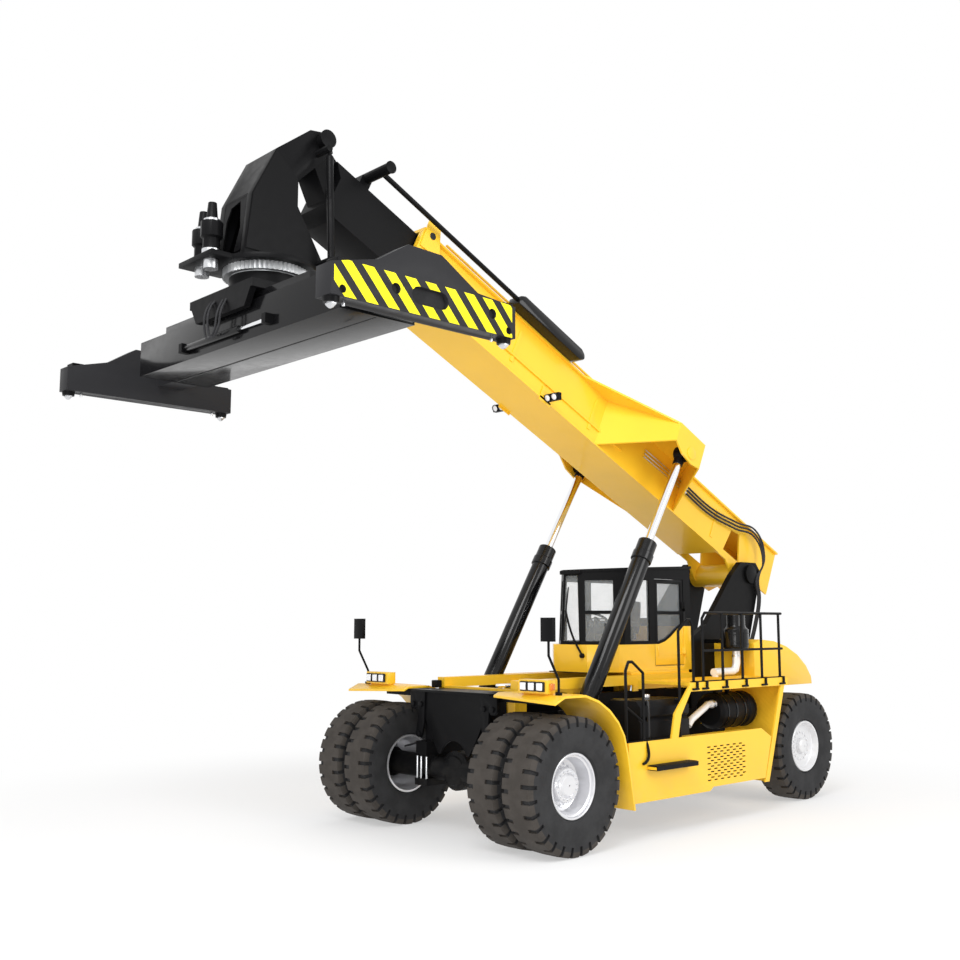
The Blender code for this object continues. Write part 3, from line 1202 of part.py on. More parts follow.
def hoist(side, name, looks, machine):
    """Barrel on the frame's lugs and chromed rod up to the boom's wing."""
    base = Vector((side * HOIST_X, HOIST_BASE_Y, HOIST_BASE_Z))
    eye = boom_point(side * HOIST_X, EYE_U, EYE_V)
    way = (eye - base).normalized()
    collar = BARREL_LENGTH - 0.34
    profile = [
        (0, 0.10),
        (0.20, 0.10),
        (0.24, BARREL_R - 0.02),
        (0.27, BARREL_R),
        (collar, BARREL_R),
        (collar, BARREL_R + COLLAR),
        (collar + 0.14, BARREL_R + COLLAR),
        (collar + 0.15, BARREL_R + COLLAR * 0.4),
        (BARREL_LENGTH, BARREL_R + COLLAR * 0.4),
    ]
    tube = turned(profile, base, way, 20)
    bore = bar(base + way * BARREL_FLOOR, base + way * (BARREL_LENGTH + 0.1), ROD_R + 2 * GAP, 16)
    half = Vector((EYE_HALF - GAP, 0, 0))
    eye_low = bar(base - half, base + half, BASE_EYE_R, 20)
    pin_hole = bar(base - half * 2, base + half * 2, BASE_PIN_R + 0.002, 16)
    piece(f"hoist_barrel_{name}", looks["black"], machine, [tube, eye_low], [bore, pin_hole], tuple(base))
    rod = bar(base + way * ROD_FOOT, eye - way * 0.05, ROD_R, 16)
    knuckle_eye = bar(eye - Vector((0.07, 0, 0)), eye + Vector((0.07, 0, 0)), EYE_R, 20)
    piece(f"hoist_rod_{name}", looks["chrome"], machine, [rod, knuckle_eye], (), tuple(eye))


def build():
    clear_scene()
    looks = {
        "yellow": material("yellow paint", (0.95, 0.55, 0.03), 0.35, 0.0),
        "black": material("black paint", (0.035, 0.036, 0.04), 0.45, 0.0),
        "tyre": material("tyre rubber", (0.03, 0.03, 0.032), 0.8, 0.0),
        "rim_silver": material("silver rim paint", (0.75, 0.76, 0.78), 0.35, 0.3),
        "rim_white": material("white rim paint", (0.85, 0.85, 0.86), 0.4, 0.0),
        "steel": material("bright steel", (0.6, 0.6, 0.62), 0.3, 1.0),
        "chrome": material("hard chrome", (0.85, 0.86, 0.88), 0.12, 1.0),
        "cloth": material("seat cloth", (0.05, 0.05, 0.055), 0.9, 0.0),
    }
    machine = empty("machine", (0, FRONT_AXLE_Y, 0))
    boom = empty("boom_frame", (0, PIVOT_Y, PIVOT_Z), -BOOM_ANGLE, machine)
    head = boom_point(0, HEAD_U, HEAD_V)

    for side, name in ((1, "left"), (-1, "right")):
        front_wheel(side, name, looks, machine)
        rear_wheel(side, name, looks, machine)
        knuckle(side, name, looks, machine)
        fender(side, name, looks, machine)
        skirt(side, name, looks, machine)
        deck(side, name, looks, machine)
        front_lights(side, name, looks, machine)
        tank(side, name, looks, machine)
        spreader_end(side, name, looks, machine)
        hoist(side, name, looks, machine)
        guide_tray(side, name, looks, boom)
    handrail(looks, machine)
    chassis(looks, machine)
    front_plate(looks, machine)
    drive_axle(looks, machine)
    boom_tower(looks, machine)
    engine(looks, machine)
    counterweight(looks, machine)
    steer_axle(looks, machine)
    muffler(looks, machine)
    air_cleaner(looks, machine)
    cab_rails(looks, machine)
    cab_origin = (0, CAB_FRONT, CAB_Z0)
    cab_shell(looks, machine, cab_origin)
    cab_door(looks, machine)
    cab_inside(looks, machine, cab_origin)
    boom_outer(looks, boom)
    boom_inner(looks, boom)
    yoke(looks, machine, tuple(head))
    rotator(looks, machine)
    spreader_beam(looks, machine)


build()
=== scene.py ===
"""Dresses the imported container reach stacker: paint, tyres, glass, lamps, hoses, fittings and the studio."""

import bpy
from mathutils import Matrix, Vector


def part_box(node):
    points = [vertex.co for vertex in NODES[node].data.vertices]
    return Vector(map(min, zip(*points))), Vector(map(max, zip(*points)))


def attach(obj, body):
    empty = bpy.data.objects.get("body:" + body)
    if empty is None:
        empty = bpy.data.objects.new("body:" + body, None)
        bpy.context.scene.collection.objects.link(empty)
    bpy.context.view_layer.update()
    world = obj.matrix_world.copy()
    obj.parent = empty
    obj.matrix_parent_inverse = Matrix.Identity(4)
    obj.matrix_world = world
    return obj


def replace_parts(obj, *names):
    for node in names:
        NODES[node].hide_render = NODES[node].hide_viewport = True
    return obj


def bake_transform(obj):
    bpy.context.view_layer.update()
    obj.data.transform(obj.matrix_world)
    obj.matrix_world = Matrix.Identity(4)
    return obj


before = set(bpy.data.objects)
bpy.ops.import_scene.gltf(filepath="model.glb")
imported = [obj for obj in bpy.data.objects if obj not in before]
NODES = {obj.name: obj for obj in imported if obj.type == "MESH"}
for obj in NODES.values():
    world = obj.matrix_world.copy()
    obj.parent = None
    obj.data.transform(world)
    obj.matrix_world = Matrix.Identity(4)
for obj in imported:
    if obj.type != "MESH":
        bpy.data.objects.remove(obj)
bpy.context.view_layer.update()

import math

import bmesh
import bpy
from bpy.props import FloatProperty, FloatVectorProperty, IntProperty, PointerProperty
from mathutils import Matrix, Vector

bl_info = {
    "name": "Reach stacker dressing",
    "version": (1, 0, 0),
    "blender": (4, 5, 0),
    "location": "View3D > Sidebar > Stacker",
    "description": "Finishes the packed reach stacker with paint, tyres, glass and fittings",
    "category": "Object",
}

LOOKS = {}
SIDES = (("left", 1), ("right", -1))
UP, ALONG_Y, FORWARD = (0, 0, 1), (0, 1, 0), (0, -1, 0)

# Places in the frame. Carrier places are measured from the front axle, boom places from the foot pin.
AXLE_Y = sum(corner.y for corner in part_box("rim_front_left")) / 2
WHEELBASE = 6.00
FOOT_Y, FOOT_Z = 6.10, 3.60
BOOM_ANGLE = math.radians(25.3)
SPREADER_Y = -3.18
HEAD_Y, HEAD_Z = -2.637, 8.681

# Tyres and rims
TYRE_R, TYRE_HALF, BEAD_R = 0.83, 0.245, 0.40
TWIN_PITCH, OUTER_X, REAR_X = 0.60, 1.845, 1.395
RIM_R, FRONT_RIM_IN, REAR_RIM_IN = BEAD_R - 0.004, 0.055, 0.03
COLUMNS_A_LUG, GROOVE_COLUMNS = 7, 2
GROOVE_IN, SHOULDER_DROP = 0.10, 0.12
TREAD_DROP, SIDE_TREAD_DROP = 0.02, 0.085

# Hoist cylinders
HOIST_X, HOIST_Y, HOIST_Z = 1.01, 1.10, 1.20
EYE_UV = (2.93, 0.56)
BARREL_R, COLLAR_R, ROD_R = 0.133, 0.155, 0.065
BARREL_FLOOR, COLLAR_AT, BARREL_END, ROD_FOOT = 0.31, 2.91, 3.25, 1.45

# Cab
CAB_HALF, CAB_FRONT, CAB_REAR = 0.66, 2.21, 4.31
SILL, MID_BAR, ROOF = 2.46, 2.96, 3.57
GLASS_DEPTH, PANE, PANE_RISE = 0.025, 0.006, 0.045

# Carrier's left side: step, walkway, muffler and air cleaner
STEP_IN, STEP_OUT, STEP_FRONT, STEP_REAR = 1.922, 2.083, 1.555, 2.455
STEP_LOW, STEP_TOP = 0.872, 0.932
CLAMPS_Y, CLAMP_HALF = (2.68, 2.91, 3.39, 3.89, 4.40, 4.89), 0.022
GRIPS, GRIP_PITCH = 43, 0.055
MUFFLER_X, MUFFLER_Z = 1.42, 1.49
CLEANER_X, CLEANER_Y = 1.16, 4.80

# Boom, head and spreader
RIB_X, LIP_X, HOSE_X = 0.405, 0.412, 0.44
BOOM_LAMP_X, BOOM_LAMP_UV = 0.54, (5.39, 0.10)
STRIPE_FACE, STRIPE_FRONT, STRIPE_REAR = 3.0290, -1.17, 1.16
STRIPE_LOW, STRIPE_TOP = 5.79, 6.15
STRIPE_PITCH, STRIPE_SHARE, STRIPE_LEAN = 0.262, 0.54, 0.90
RING_LOW, RING_TOP = 6.855, 6.965
LOCK_X, LOCK_Y = 5.853 / 2, 2.259 / 2
RAM_Y, RAM_Z = -3.735, 6.10
MOTORS = ((-0.36, SPREADER_Y - 0.66), (-0.02, SPREADER_Y - 0.74))

# Studio, and the camera that took the photograph, with its lens in pixels
FLOOR_SIZE, FLOOR_FADE, SKY_SHARE = 160, (5.5, 11.0), 0.72
LIGHTS_AIM = (0, 0, 2.5)
CAMERA_TURN, CAMERA_RISE = math.radians(46.592), math.radians(-7.347)
CAMERA_PLACE = (11.177, -10.181, 2.762)
FOCAL_PX, SHIFT_PX, PICTURE_PX, SENSOR_MM = 1106.9, 1.3, 960, 36


def at(x, y, z):
    """A place on the carrier, measured from the front axle."""
    return Vector((x, y + AXLE_Y, z))


def on_boom(x, u, v):
    """A place on the boom: u along it from the foot pin, v square to it."""
    c, s = math.cos(BOOM_ANGLE), math.sin(BOOM_ANGLE)
    return at(x, FOOT_Y - u * c + v * s, FOOT_Z + u * s + v * c)


def rectangle(a0, a1, b0, b1):
    """The corners of a rectangle, in order."""
    return ((a0, b0), (a1, b0), (a1, b1), (a0, b1))


def ring_of(centre, plane, radius, count, start=0.0):
    """Places around a circle on the carrier, in the plane of two axes."""
    places = []
    for i in range(count):
        angle = 2 * math.pi * (i + start) / count
        place = list(centre)
        place[plane[0]] += radius * math.cos(angle)
        place[plane[1]] += radius * math.sin(angle)
        places.append(at(*place))
    return places


# Modelling helpers


def deselect():
    for other in list(bpy.context.selected_objects):
        other.select_set(False)


def activate(piece):
    """Makes a piece the active one and the only one selected."""
    deselect()
    piece.select_set(True)
    bpy.context.view_layer.objects.active = piece


def added(name):
    """The piece that was just added, under its name."""
    piece = bpy.context.object
    piece.name = name
    return piece


def edit(piece, mode="FACE", action="SELECT"):
    """Opens a piece in edit mode with everything selected, or nothing."""
    activate(piece)
    bpy.ops.object.mode_set(mode="EDIT")
    bpy.ops.mesh.select_mode(type=mode)
    bpy.ops.mesh.select_all(action=action)


def close_edit():
    bpy.ops.object.mode_set(mode="OBJECT")


def settle(piece, smooth=32):
    """Puts the piece's place into its mesh and shades it."""
    activate(piece)
    bpy.ops.object.transform_apply(location=True, rotation=True, scale=True)
    bpy.ops.object.shade_smooth_by_angle(angle=math.radians(smooth))
    piece.select_set(False)


def span(first, second):
    """The lowest and the highest corner of the block between two corners."""
    pairs = list(zip(first, second))
    return Vector([min(pair) for pair in pairs]), Vector([max(pair) for pair in pairs])


def box(name, first, second, edge=0.004):
    """A block between two corners with its edges rounded."""
    deselect()
    low, high = span(first, second)
    bpy.ops.mesh.primitive_cube_add(size=1, location=(low + high) / 2, scale=high - low)
    piece = added(name)
    settle(piece)
    edit(piece, "EDGE")
    bpy.ops.mesh.bevel(offset=edge, segments=2, affect="EDGES")
    close_edit()
    settle(piece)
    return piece


def rod(name, start, end, radius, sides=20):
    """A round bar between two points with its end rims rounded by a tenth."""
    deselect()
    start, end = Vector(start), Vector(end)
    way = end - start
    turn = way.to_track_quat("Z", "Y").to_euler()
    bpy.ops.mesh.primitive_cylinder_add(
        vertices=sides, radius=radius, depth=way.length, location=(start + end) / 2, rotation=turn
    )
    piece = added(name)
    edit(piece, "EDGE", "DESELECT")
    close_edit()
    for line in piece.data.edges:
        ends = [piece.data.vertices[i].co.z for i in line.vertices]
        line.select = abs(ends[0] - ends[1]) < 1e-6
    bpy.ops.object.mode_set(mode="EDIT")
    bpy.ops.mesh.bevel(offset=min(radius, way.length) * 0.1, segments=2, affect="EDGES")
    close_edit()
    settle(piece)
    return piece


def lathe(name, outline, place, way, steps):
    """A closed outline of pairs, along an axis and out from it, spun about the axis."""
    deselect()
    bpy.ops.mesh.primitive_circle_add(vertices=len(outline), radius=1, location=(0, 0, 0))
    piece = added(name)
    for vert, (along, radius) in zip(piece.data.vertices, outline):
        vert.co = (along, radius, 0)
    edit(piece, "VERT")
    bpy.ops.mesh.spin(
        steps=steps, angle=2 * math.pi, center=(0, 0, 0), axis=(1, 0, 0), use_auto_merge=True
    )
    bpy.ops.mesh.select_all(action="SELECT")
    bpy.ops.mesh.remove_doubles(threshold=0.00002)
    bpy.ops.mesh.normals_make_consistent(inside=False)
    close_edit()
    stand = Vector(way).to_track_quat("X", "Z").to_matrix().to_4x4()
    piece.data.transform(Matrix.Translation(Vector(place)) @ stand)
    settle(piece)
    return piece


def hose(name, points, radius):
    """A tube on a smooth curve through the points."""
    deselect()
    bpy.ops.curve.primitive_bezier_curve_add(location=(0, 0, 0))
    curve = added(name)
    knots = curve.data.splines[0].bezier_points
    knots.add(len(points) - 2)
    for knot, point in zip(knots, points):
        knot.co = point
        knot.handle_left_type = knot.handle_right_type = "AUTO"
    curve.data.bevel_depth = radius
    curve.data.bevel_resolution = 3
    curve.data.resolution_u = 8
    curve.data.use_fill_caps = True
    bpy.ops.object.convert(target="MESH")
    piece = bpy.context.object
    settle(piece, 50)
    return piece


def sheet_of(name, corners, thickness):
    """A flat outline of corners given the thickness of its pane or plate."""
    deselect()
    bpy.ops.mesh.primitive_circle_add(
        vertices=len(corners), radius=1, fill_type="NGON", location=(0, 0, 0)
    )
    piece = added(name)
    for vert, corner in zip(piece.data.vertices, corners):
        vert.co = corner
    piece.data.update()
    wall = piece.modifiers.new("thickness", "SOLIDIFY")
    wall.thickness = thickness
    wall.offset = 0
    bpy.ops.object.modifier_apply(modifier=wall.name)
    edit(piece)
    bpy.ops.mesh.normals_make_consistent(inside=False)
    close_edit()
    settle(piece)
    return piece


def repeat(name, template, places):
    """One piece made of a template's copies, each moved by a matrix."""
    gathered = bmesh.new()
    for place in places:
        copy = template.data.copy()
        copy.transform(place)
        gathered.from_mesh(copy)
        bpy.data.meshes.remove(copy)
    template.data = template.data.copy()
    gathered.to_mesh(template.data)
    gathered.free()
    template.name = name
    settle(template)
    return template


def hex_bolt(size):
    """A hexagon head on its washer, standing on the ground plane and pointing up."""
    washer = rod("washer", (0, 0, -0.002), (0, 0, size * 0.25), size * 1.25, 16)
    deselect()
    bpy.ops.mesh.primitive_cylinder_add(
        vertices=6, radius=size, depth=size, location=(0, 0, size * 0.7)
    )
    head = bpy.context.object
    settle(head)
    edit(head, "EDGE")
    bpy.ops.mesh.bevel(offset=size * 0.12, segments=1, affect="EDGES")
    close_edit()
    activate(washer)
    head.select_set(True)
    bpy.ops.object.join()
    return bpy.context.object


def finish(piece, body, look):
    """Gives a piece its material and the body that it rides on, if it is stiff."""
    piece.data.materials.clear()
    piece.data.materials.append(LOOKS[look])
    if body:
        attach(piece, body)
    return piece


def block(name, first, second, body="chassis", look="black", edge=0.004):
    """A painted block between two corners, which are measured from the front axle."""
    return finish(box(name, at(*first), at(*second), edge), body, look)


def bar(name, start, end, radius, body="chassis", look="black", sides=20):
    """A painted round bar between two places, which are measured from the front axle."""
    return finish(rod(name, at(*start), at(*end), radius, sides), body, look)


def turned(name, outline, place, way, steps, body, look="black"):
    """A painted piece spun about an axis."""
    return finish(lathe(name, outline, place, way, steps), body, look)


def plate(name, corners, thickness, body, look="black"):
    """A painted flat plate."""
    return finish(sheet_of(name, corners, thickness), body, look)


def tube(name, route, radius, body="chassis"):
    """A rubber hose through places that are measured from the front axle."""
    return finish(hose(name, [at(*place) for place in route], radius), body, "hose")


def bolts(name, places, way, size, body, look="steel"):
    """Bolts at points, all facing one way."""
    turn = Vector(way).to_track_quat("Z", "Y").to_matrix().to_4x4()
    made = repeat(name, hex_bolt(size), [Matrix.Translation(Vector(p)) @ turn for p in places])
    return finish(made, body, look)


def dress(node, body, look, edge=0.004, angle=30):
    """Puts a merged and painted copy, with softened edges, in a CAD node's place."""
    deselect()
    source = NODES[node]
    copy = source.copy()
    copy.data = source.data.copy()
    copy.parent = None
    copy.name = f"{node}_finished"
    for key in list(copy.keys()):
        del copy[key]
    bpy.context.scene.collection.objects.link(copy)
    edit(copy)
    bpy.ops.mesh.customdata_custom_splitnormals_clear()
    bpy.ops.mesh.remove_doubles(threshold=0.00005)
    bpy.ops.mesh.dissolve_limited(angle_limit=math.radians(1))
    close_edit()
    if edge:
        rim = copy.modifiers.new("edges", "BEVEL")
        rim.width = edge
        rim.segments = 2
        rim.limit_method = "ANGLE"
        rim.angle_limit = math.radians(angle)
        rim.use_clamp_overlap = True
        bpy.ops.object.modifier_apply(modifier=rim.name)
    settle(copy, angle)
    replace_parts(finish(copy, body, look), node)


# Materials


def arithmetic(operation):
    """A method that joins a socket and another value in a math node."""

    def method(self, other):
        return self.look.node("ShaderNodeMath", {"operation": operation}, {0: self, 1: other})

    return method


class Value:
    """A shader socket that takes Python's arithmetic."""

    def __init__(self, look, socket):
        self.look = look
        self.socket = socket

    __add__ = arithmetic("ADD")
    __sub__ = arithmetic("SUBTRACT")
    __mul__ = arithmetic("MULTIPLY")
    __truediv__ = arithmetic("DIVIDE")
    __gt__ = arithmetic("GREATER_THAN")
    __lt__ = arithmetic("LESS_THAN")
    __mod__ = arithmetic("FLOORED_MODULO")


class Look:
    """One procedural material, built node by node."""

    def __init__(self, name, color, roughness, metallic=0.0, **sockets):
        self.material = bpy.data.materials.new(name)
        self.material.use_nodes = True
        self.tree = self.material.node_tree
        self.shader = self.tree.nodes["Principled BSDF"]
        self.color = (*color, 1)
        self.set("Base Color", self.color)
        self.set("Roughness", roughness)
        self.set("Metallic", metallic)
        for key, value in sockets.items():
            self.set(key.replace("_", " "), value)
        self.place = self.node("ShaderNodeTexCoord", output="Object")

    def put(self, socket, value):
        if isinstance(value, Value):
            self.tree.links.new(value.socket, socket)
        else:
            socket.default_value = value

    def set(self, key, value):
        self.put(self.shader.inputs[key], value)

    def node(self, kind, settings=None, sockets=None, output=0):
        made = self.tree.nodes.new(kind)
        for key, value in (settings or {}).items():
            setattr(made, key, value)
        for key, value in (sockets or {}).items():
            self.put(made.inputs[key], value)
        return Value(self, made.outputs[output])

    def stretched(self, scale):
        return self.node("ShaderNodeMapping", None, {"Vector": self.place, "Scale": scale})

    def noise(self, scale, detail=3.0, where=None):
        sockets = {"Vector": where or self.place, "Scale": scale, "Detail": detail}
        return self.node("ShaderNodeTexNoise", None, sockets)

    def ramp(self, value, low, high):
        """Zero below low and one above high, with a soft step between."""
        settings = {"interpolation_type": "SMOOTHSTEP"}
        sockets = {"Value": value, "From Min": low, "From Max": high}
        return self.node("ShaderNodeMapRange", settings, sockets)

    def mix(self, factor, first, second):
        made = self.tree.nodes.new("ShaderNodeMix")
        made.data_type = "RGBA"
        self.put(made.inputs[0], factor)
        self.put(made.inputs[6], first)
        self.put(made.inputs[7], second)
        return Value(self, made.outputs[2])

    def part(self, axis):
        """One coordinate of the place."""
        return self.node("ShaderNodeSeparateXYZ", None, {0: self.place}, axis)

    def bump(self, height, strength, distance):
        sockets = {"Height": height, "Strength": strength, "Distance": distance}
        self.set("Normal", self.node("ShaderNodeBump", None, sockets))


def paint_look(name, color, roughness, dust=0.10, coat=0.25, specular=0.4, peel=0.06):
    """Sprayed paint: slight shade changes, orange peel, fine wear and dust low on the machine."""
    look = Look(name, color, roughness, Coat_Weight=coat, Coat_Roughness=0.10)
    look.set("Specular IOR Level", specular)
    shade = look.noise(1.1, 4.0)
    darker = tuple(c * 0.95 for c in color) + (1,)
    tinted = look.mix(look.ramp(shade, 0.35, 0.70), look.color, darker)
    low = look.ramp(look.part(2), 1.3, 0.1) * look.ramp(look.noise(6.0, 6.0), 0.35, 0.75)
    dusty = look.mix(low * dust, tinted, (0.42, 0.38, 0.32, 1))
    specks = look.ramp(look.noise(38.0, 2.0), 0.70, 0.78) * look.ramp(look.noise(2.3, 2.0), 0.55, 0.75)
    worn = look.mix(specks * 0.25, dusty, tuple(c * 0.6 for c in color) + (1,))
    look.set("Base Color", worn)
    look.set("Roughness", look.ramp(look.noise(9.0), 0.2, 0.8) * 0.10 + (roughness - 0.05) + low * 0.2)
    look.bump(look.noise(160.0, 1.0), peel, 0.001)
    return look


def black_look(name, color):
    """Satin black paint, which mirrors little."""
    return paint_look(name, color, 0.40, 0.05, 0.0, 0.09, 0.03)


def rubber_look(name, color):
    """Tyre rubber: fine grain, dusty bloom."""
    look = Look(name, color, 0.82, Specular_IOR_Level=0.35)
    bloom = look.ramp(look.noise(5.0, 5.0), 0.35, 0.7)
    paler = tuple(min(c * 1.5 + 0.01, 1) for c in color) + (1,)
    look.set("Base Color", look.mix(bloom * 0.5, look.color, paler))
    look.set("Roughness", look.noise(30.0) * 0.15 + 0.72)
    look.bump(look.noise(120.0, 4.0), 0.25, 0.002)
    return look


def metal_look(name, color, roughness, scale=(1, 1, 30), metallic=1.0, wear=0.4):
    """Drawn, turned or painted metal with fine lines along it, as strong as its wear."""
    look = Look(name, color, roughness, metallic)
    lines = look.noise(12.0, 4.0, look.stretched(scale))
    darker = tuple(c * 0.82 for c in color) + (1,)
    look.set("Base Color", look.mix(look.ramp(look.noise(3.0), 0.3, 0.7) * wear, look.color, darker))
    look.set("Roughness", lines * (0.35 * wear) + (roughness - 0.17 * wear))
    look.bump(lines, 0.12 * wear, 0.0005)
    return look


def base_of(look):
    """What feeds a look's base colour so far."""
    return Value(look, look.shader.inputs["Base Color"].links[0].from_socket)


def stripe_look():
    """Black paint with slanted yellow bars on the outer face of the spreader's end beams."""
    look = black_look("striped black paint", (0.025, 0.025, 0.027))
    inner = base_of(look)
    y, z = look.part(1), look.part(2)
    face = look.node("ShaderNodeMath", {"operation": "ABSOLUTE"}, {0: look.part(0)}) > STRIPE_FACE
    along = y - (SPREADER_Y + AXLE_Y)
    lean = (along + (z - STRIPE_LOW) * STRIPE_LEAN) / STRIPE_PITCH
    bars = (lean % 1.0) < STRIPE_SHARE
    reach = (along > STRIPE_FRONT) * (along < STRIPE_REAR)
    height = (z > STRIPE_LOW) * (z < STRIPE_TOP)
    mask = face * bars * reach * height
    look.set("Base Color", look.mix(mask, inner, (0.93, 0.83, 0.02, 1)))
    return look


def slew_look(black):
    """Black paint with the toothed ring left as bright steel."""
    look = black_look("black paint and bare ring", black)
    inner = base_of(look)
    z = look.part(2)
    ring = (z > RING_LOW) * (z < RING_TOP)
    look.set("Base Color", look.mix(ring, inner, (0.60, 0.61, 0.62, 1)))
    look.set("Metallic", ring * 1.0)
    return look


def wave_of(look, direction, scale):
    """Straight bands across one direction."""
    sockets = {"Vector": look.place, "Scale": scale}
    return look.node("ShaderNodeTexWave", {"bands_direction": direction}, sockets)


def cloth_look():
    """Woven seat cloth."""
    look = Look("woven seat cloth", (0.055, 0.055, 0.06), 0.92, Sheen_Weight=0.3)
    weave, across = wave_of(look, "X", 90.0), wave_of(look, "Z", 90.0)
    look.set("Base Color", look.mix(weave * across, look.color, (0.10, 0.10, 0.11, 1)))
    look.bump(weave + across, 0.4, 0.001)
    return look


def glass_look(name, tint, alpha):
    """Thin window glass with a faint film of dust."""
    look = Look(name, tint, 0.03, Alpha=alpha, Coat_Weight=0.6, Coat_Roughness=0.02)
    film = look.ramp(look.noise(2.2, 5.0), 0.45, 0.8)
    look.set("Alpha", film * 0.06 + alpha)
    look.set("Roughness", film * 0.10 + 0.03)
    return look


def lens_look():
    """Lamp glass with upright ribs over a bright reflector."""
    look = Look("lamp glass", (0.92, 0.93, 0.95), 0.12, 0.15, Coat_Weight=1.0, Coat_Roughness=0.03)
    ribs = wave_of(look, "X", 22.0)
    look.set("Base Color", look.mix(ribs, (0.97, 0.97, 0.98, 1), (0.80, 0.81, 0.84, 1)))
    look.bump(ribs, 0.5, 0.003)
    return look


def tread_plate_look(name, color):
    """Painted walkway plate with raised grip bars."""
    look = paint_look(name, color, 0.5)
    first = wave_of(look, "DIAGONAL", 7.0)
    look.bump(first * 0.6 + look.noise(160.0, 1.0) * 0.2, 0.35, 0.004)
    return look


def make_looks(settings):
    yellow, black = tuple(settings.paint), tuple(settings.dark)
    made = {
        "yellow": paint_look("yellow paint", yellow, settings.gloss),
        "yellow_plate": tread_plate_look("yellow walkway plate", yellow),
        "black": black_look("black paint", black),
        "black_gloss": paint_look("gloss black paint", black, 0.22, 0.05, 0.35, 0.12, 0.01),
        "striped": stripe_look(),
        "slew": slew_look(black),
        "tread": rubber_look("tread rubber", (0.040, 0.034, 0.029)),
        "sidewall": rubber_look("sidewall rubber", (0.018, 0.018, 0.019)),
        "hose": rubber_look("hose rubber", (0.018, 0.018, 0.020)),
        "gasket": rubber_look("window gasket", (0.012, 0.012, 0.013)),
        "rim_silver": metal_look("silver rim paint", (0.76, 0.76, 0.78), 0.26, (1, 1, 1), 0.60, 0.10),
        "rim_white": metal_look("white rim paint", (0.76, 0.76, 0.77), 0.34, (1, 1, 1), 0.25, 0.10),
        "steel": metal_look("bright steel", (0.72, 0.73, 0.75), 0.28),
        "pipe": metal_look("bright pipe", (0.93, 0.93, 0.93), 0.25, (1, 1, 1), 0.15, 0.08),
        "chrome": metal_look("hard chrome", (0.88, 0.89, 0.91), 0.10, (1, 1, 1), 1.0, 0.1),
        "cloth": cloth_look(),
        "glass": glass_look("window glass", (0.80, 0.84, 0.85), 0.13),
        "tinted": glass_look("tinted window glass", (0.25, 0.27, 0.28), 0.38),
        "mirror": metal_look("mirror glass", (0.85, 0.87, 0.90), 0.09, (1, 1, 1)),
        "lens": lens_look(),
        "amber": Look("amber lamp glass", (0.85, 0.22, 0.02), 0.15, Coat_Weight=1.0),
    }
    LOOKS.update({key: look.material for key, look in made.items()})


# Settings that a user would change


class StackerSettings(bpy.types.PropertyGroup):
    """Colours and sizes of the dressing."""

    paint: FloatVectorProperty(
        name="Body paint",
        description="Colour of the body paint",
        subtype="COLOR",
        size=3,
        default=(0.97, 0.575, 0.026),
    )
    dark: FloatVectorProperty(
        name="Dark paint",
        description="Colour of the frame's paint",
        subtype="COLOR",
        size=3,
        default=(0.005, 0.005, 0.0055),
    )
    gloss: FloatProperty(
        name="Paint roughness", description="Roughness of the body paint", subtype="FACTOR", default=0.34
    )
    lugs: IntProperty(name="Lugs", description="Lugs on each shoulder of a tyre", default=29)
    groove: FloatProperty(
        name="Groove depth", description="Depth of the tyre's grooves", unit="LENGTH", default=0.030
    )
    hose_radius: FloatProperty(
        name="Hose radius", description="Radius of the hydraulic hoses", unit="LENGTH", default=0.016
    )


def settings_now():
    return bpy.context.scene.stacker


# Wheels


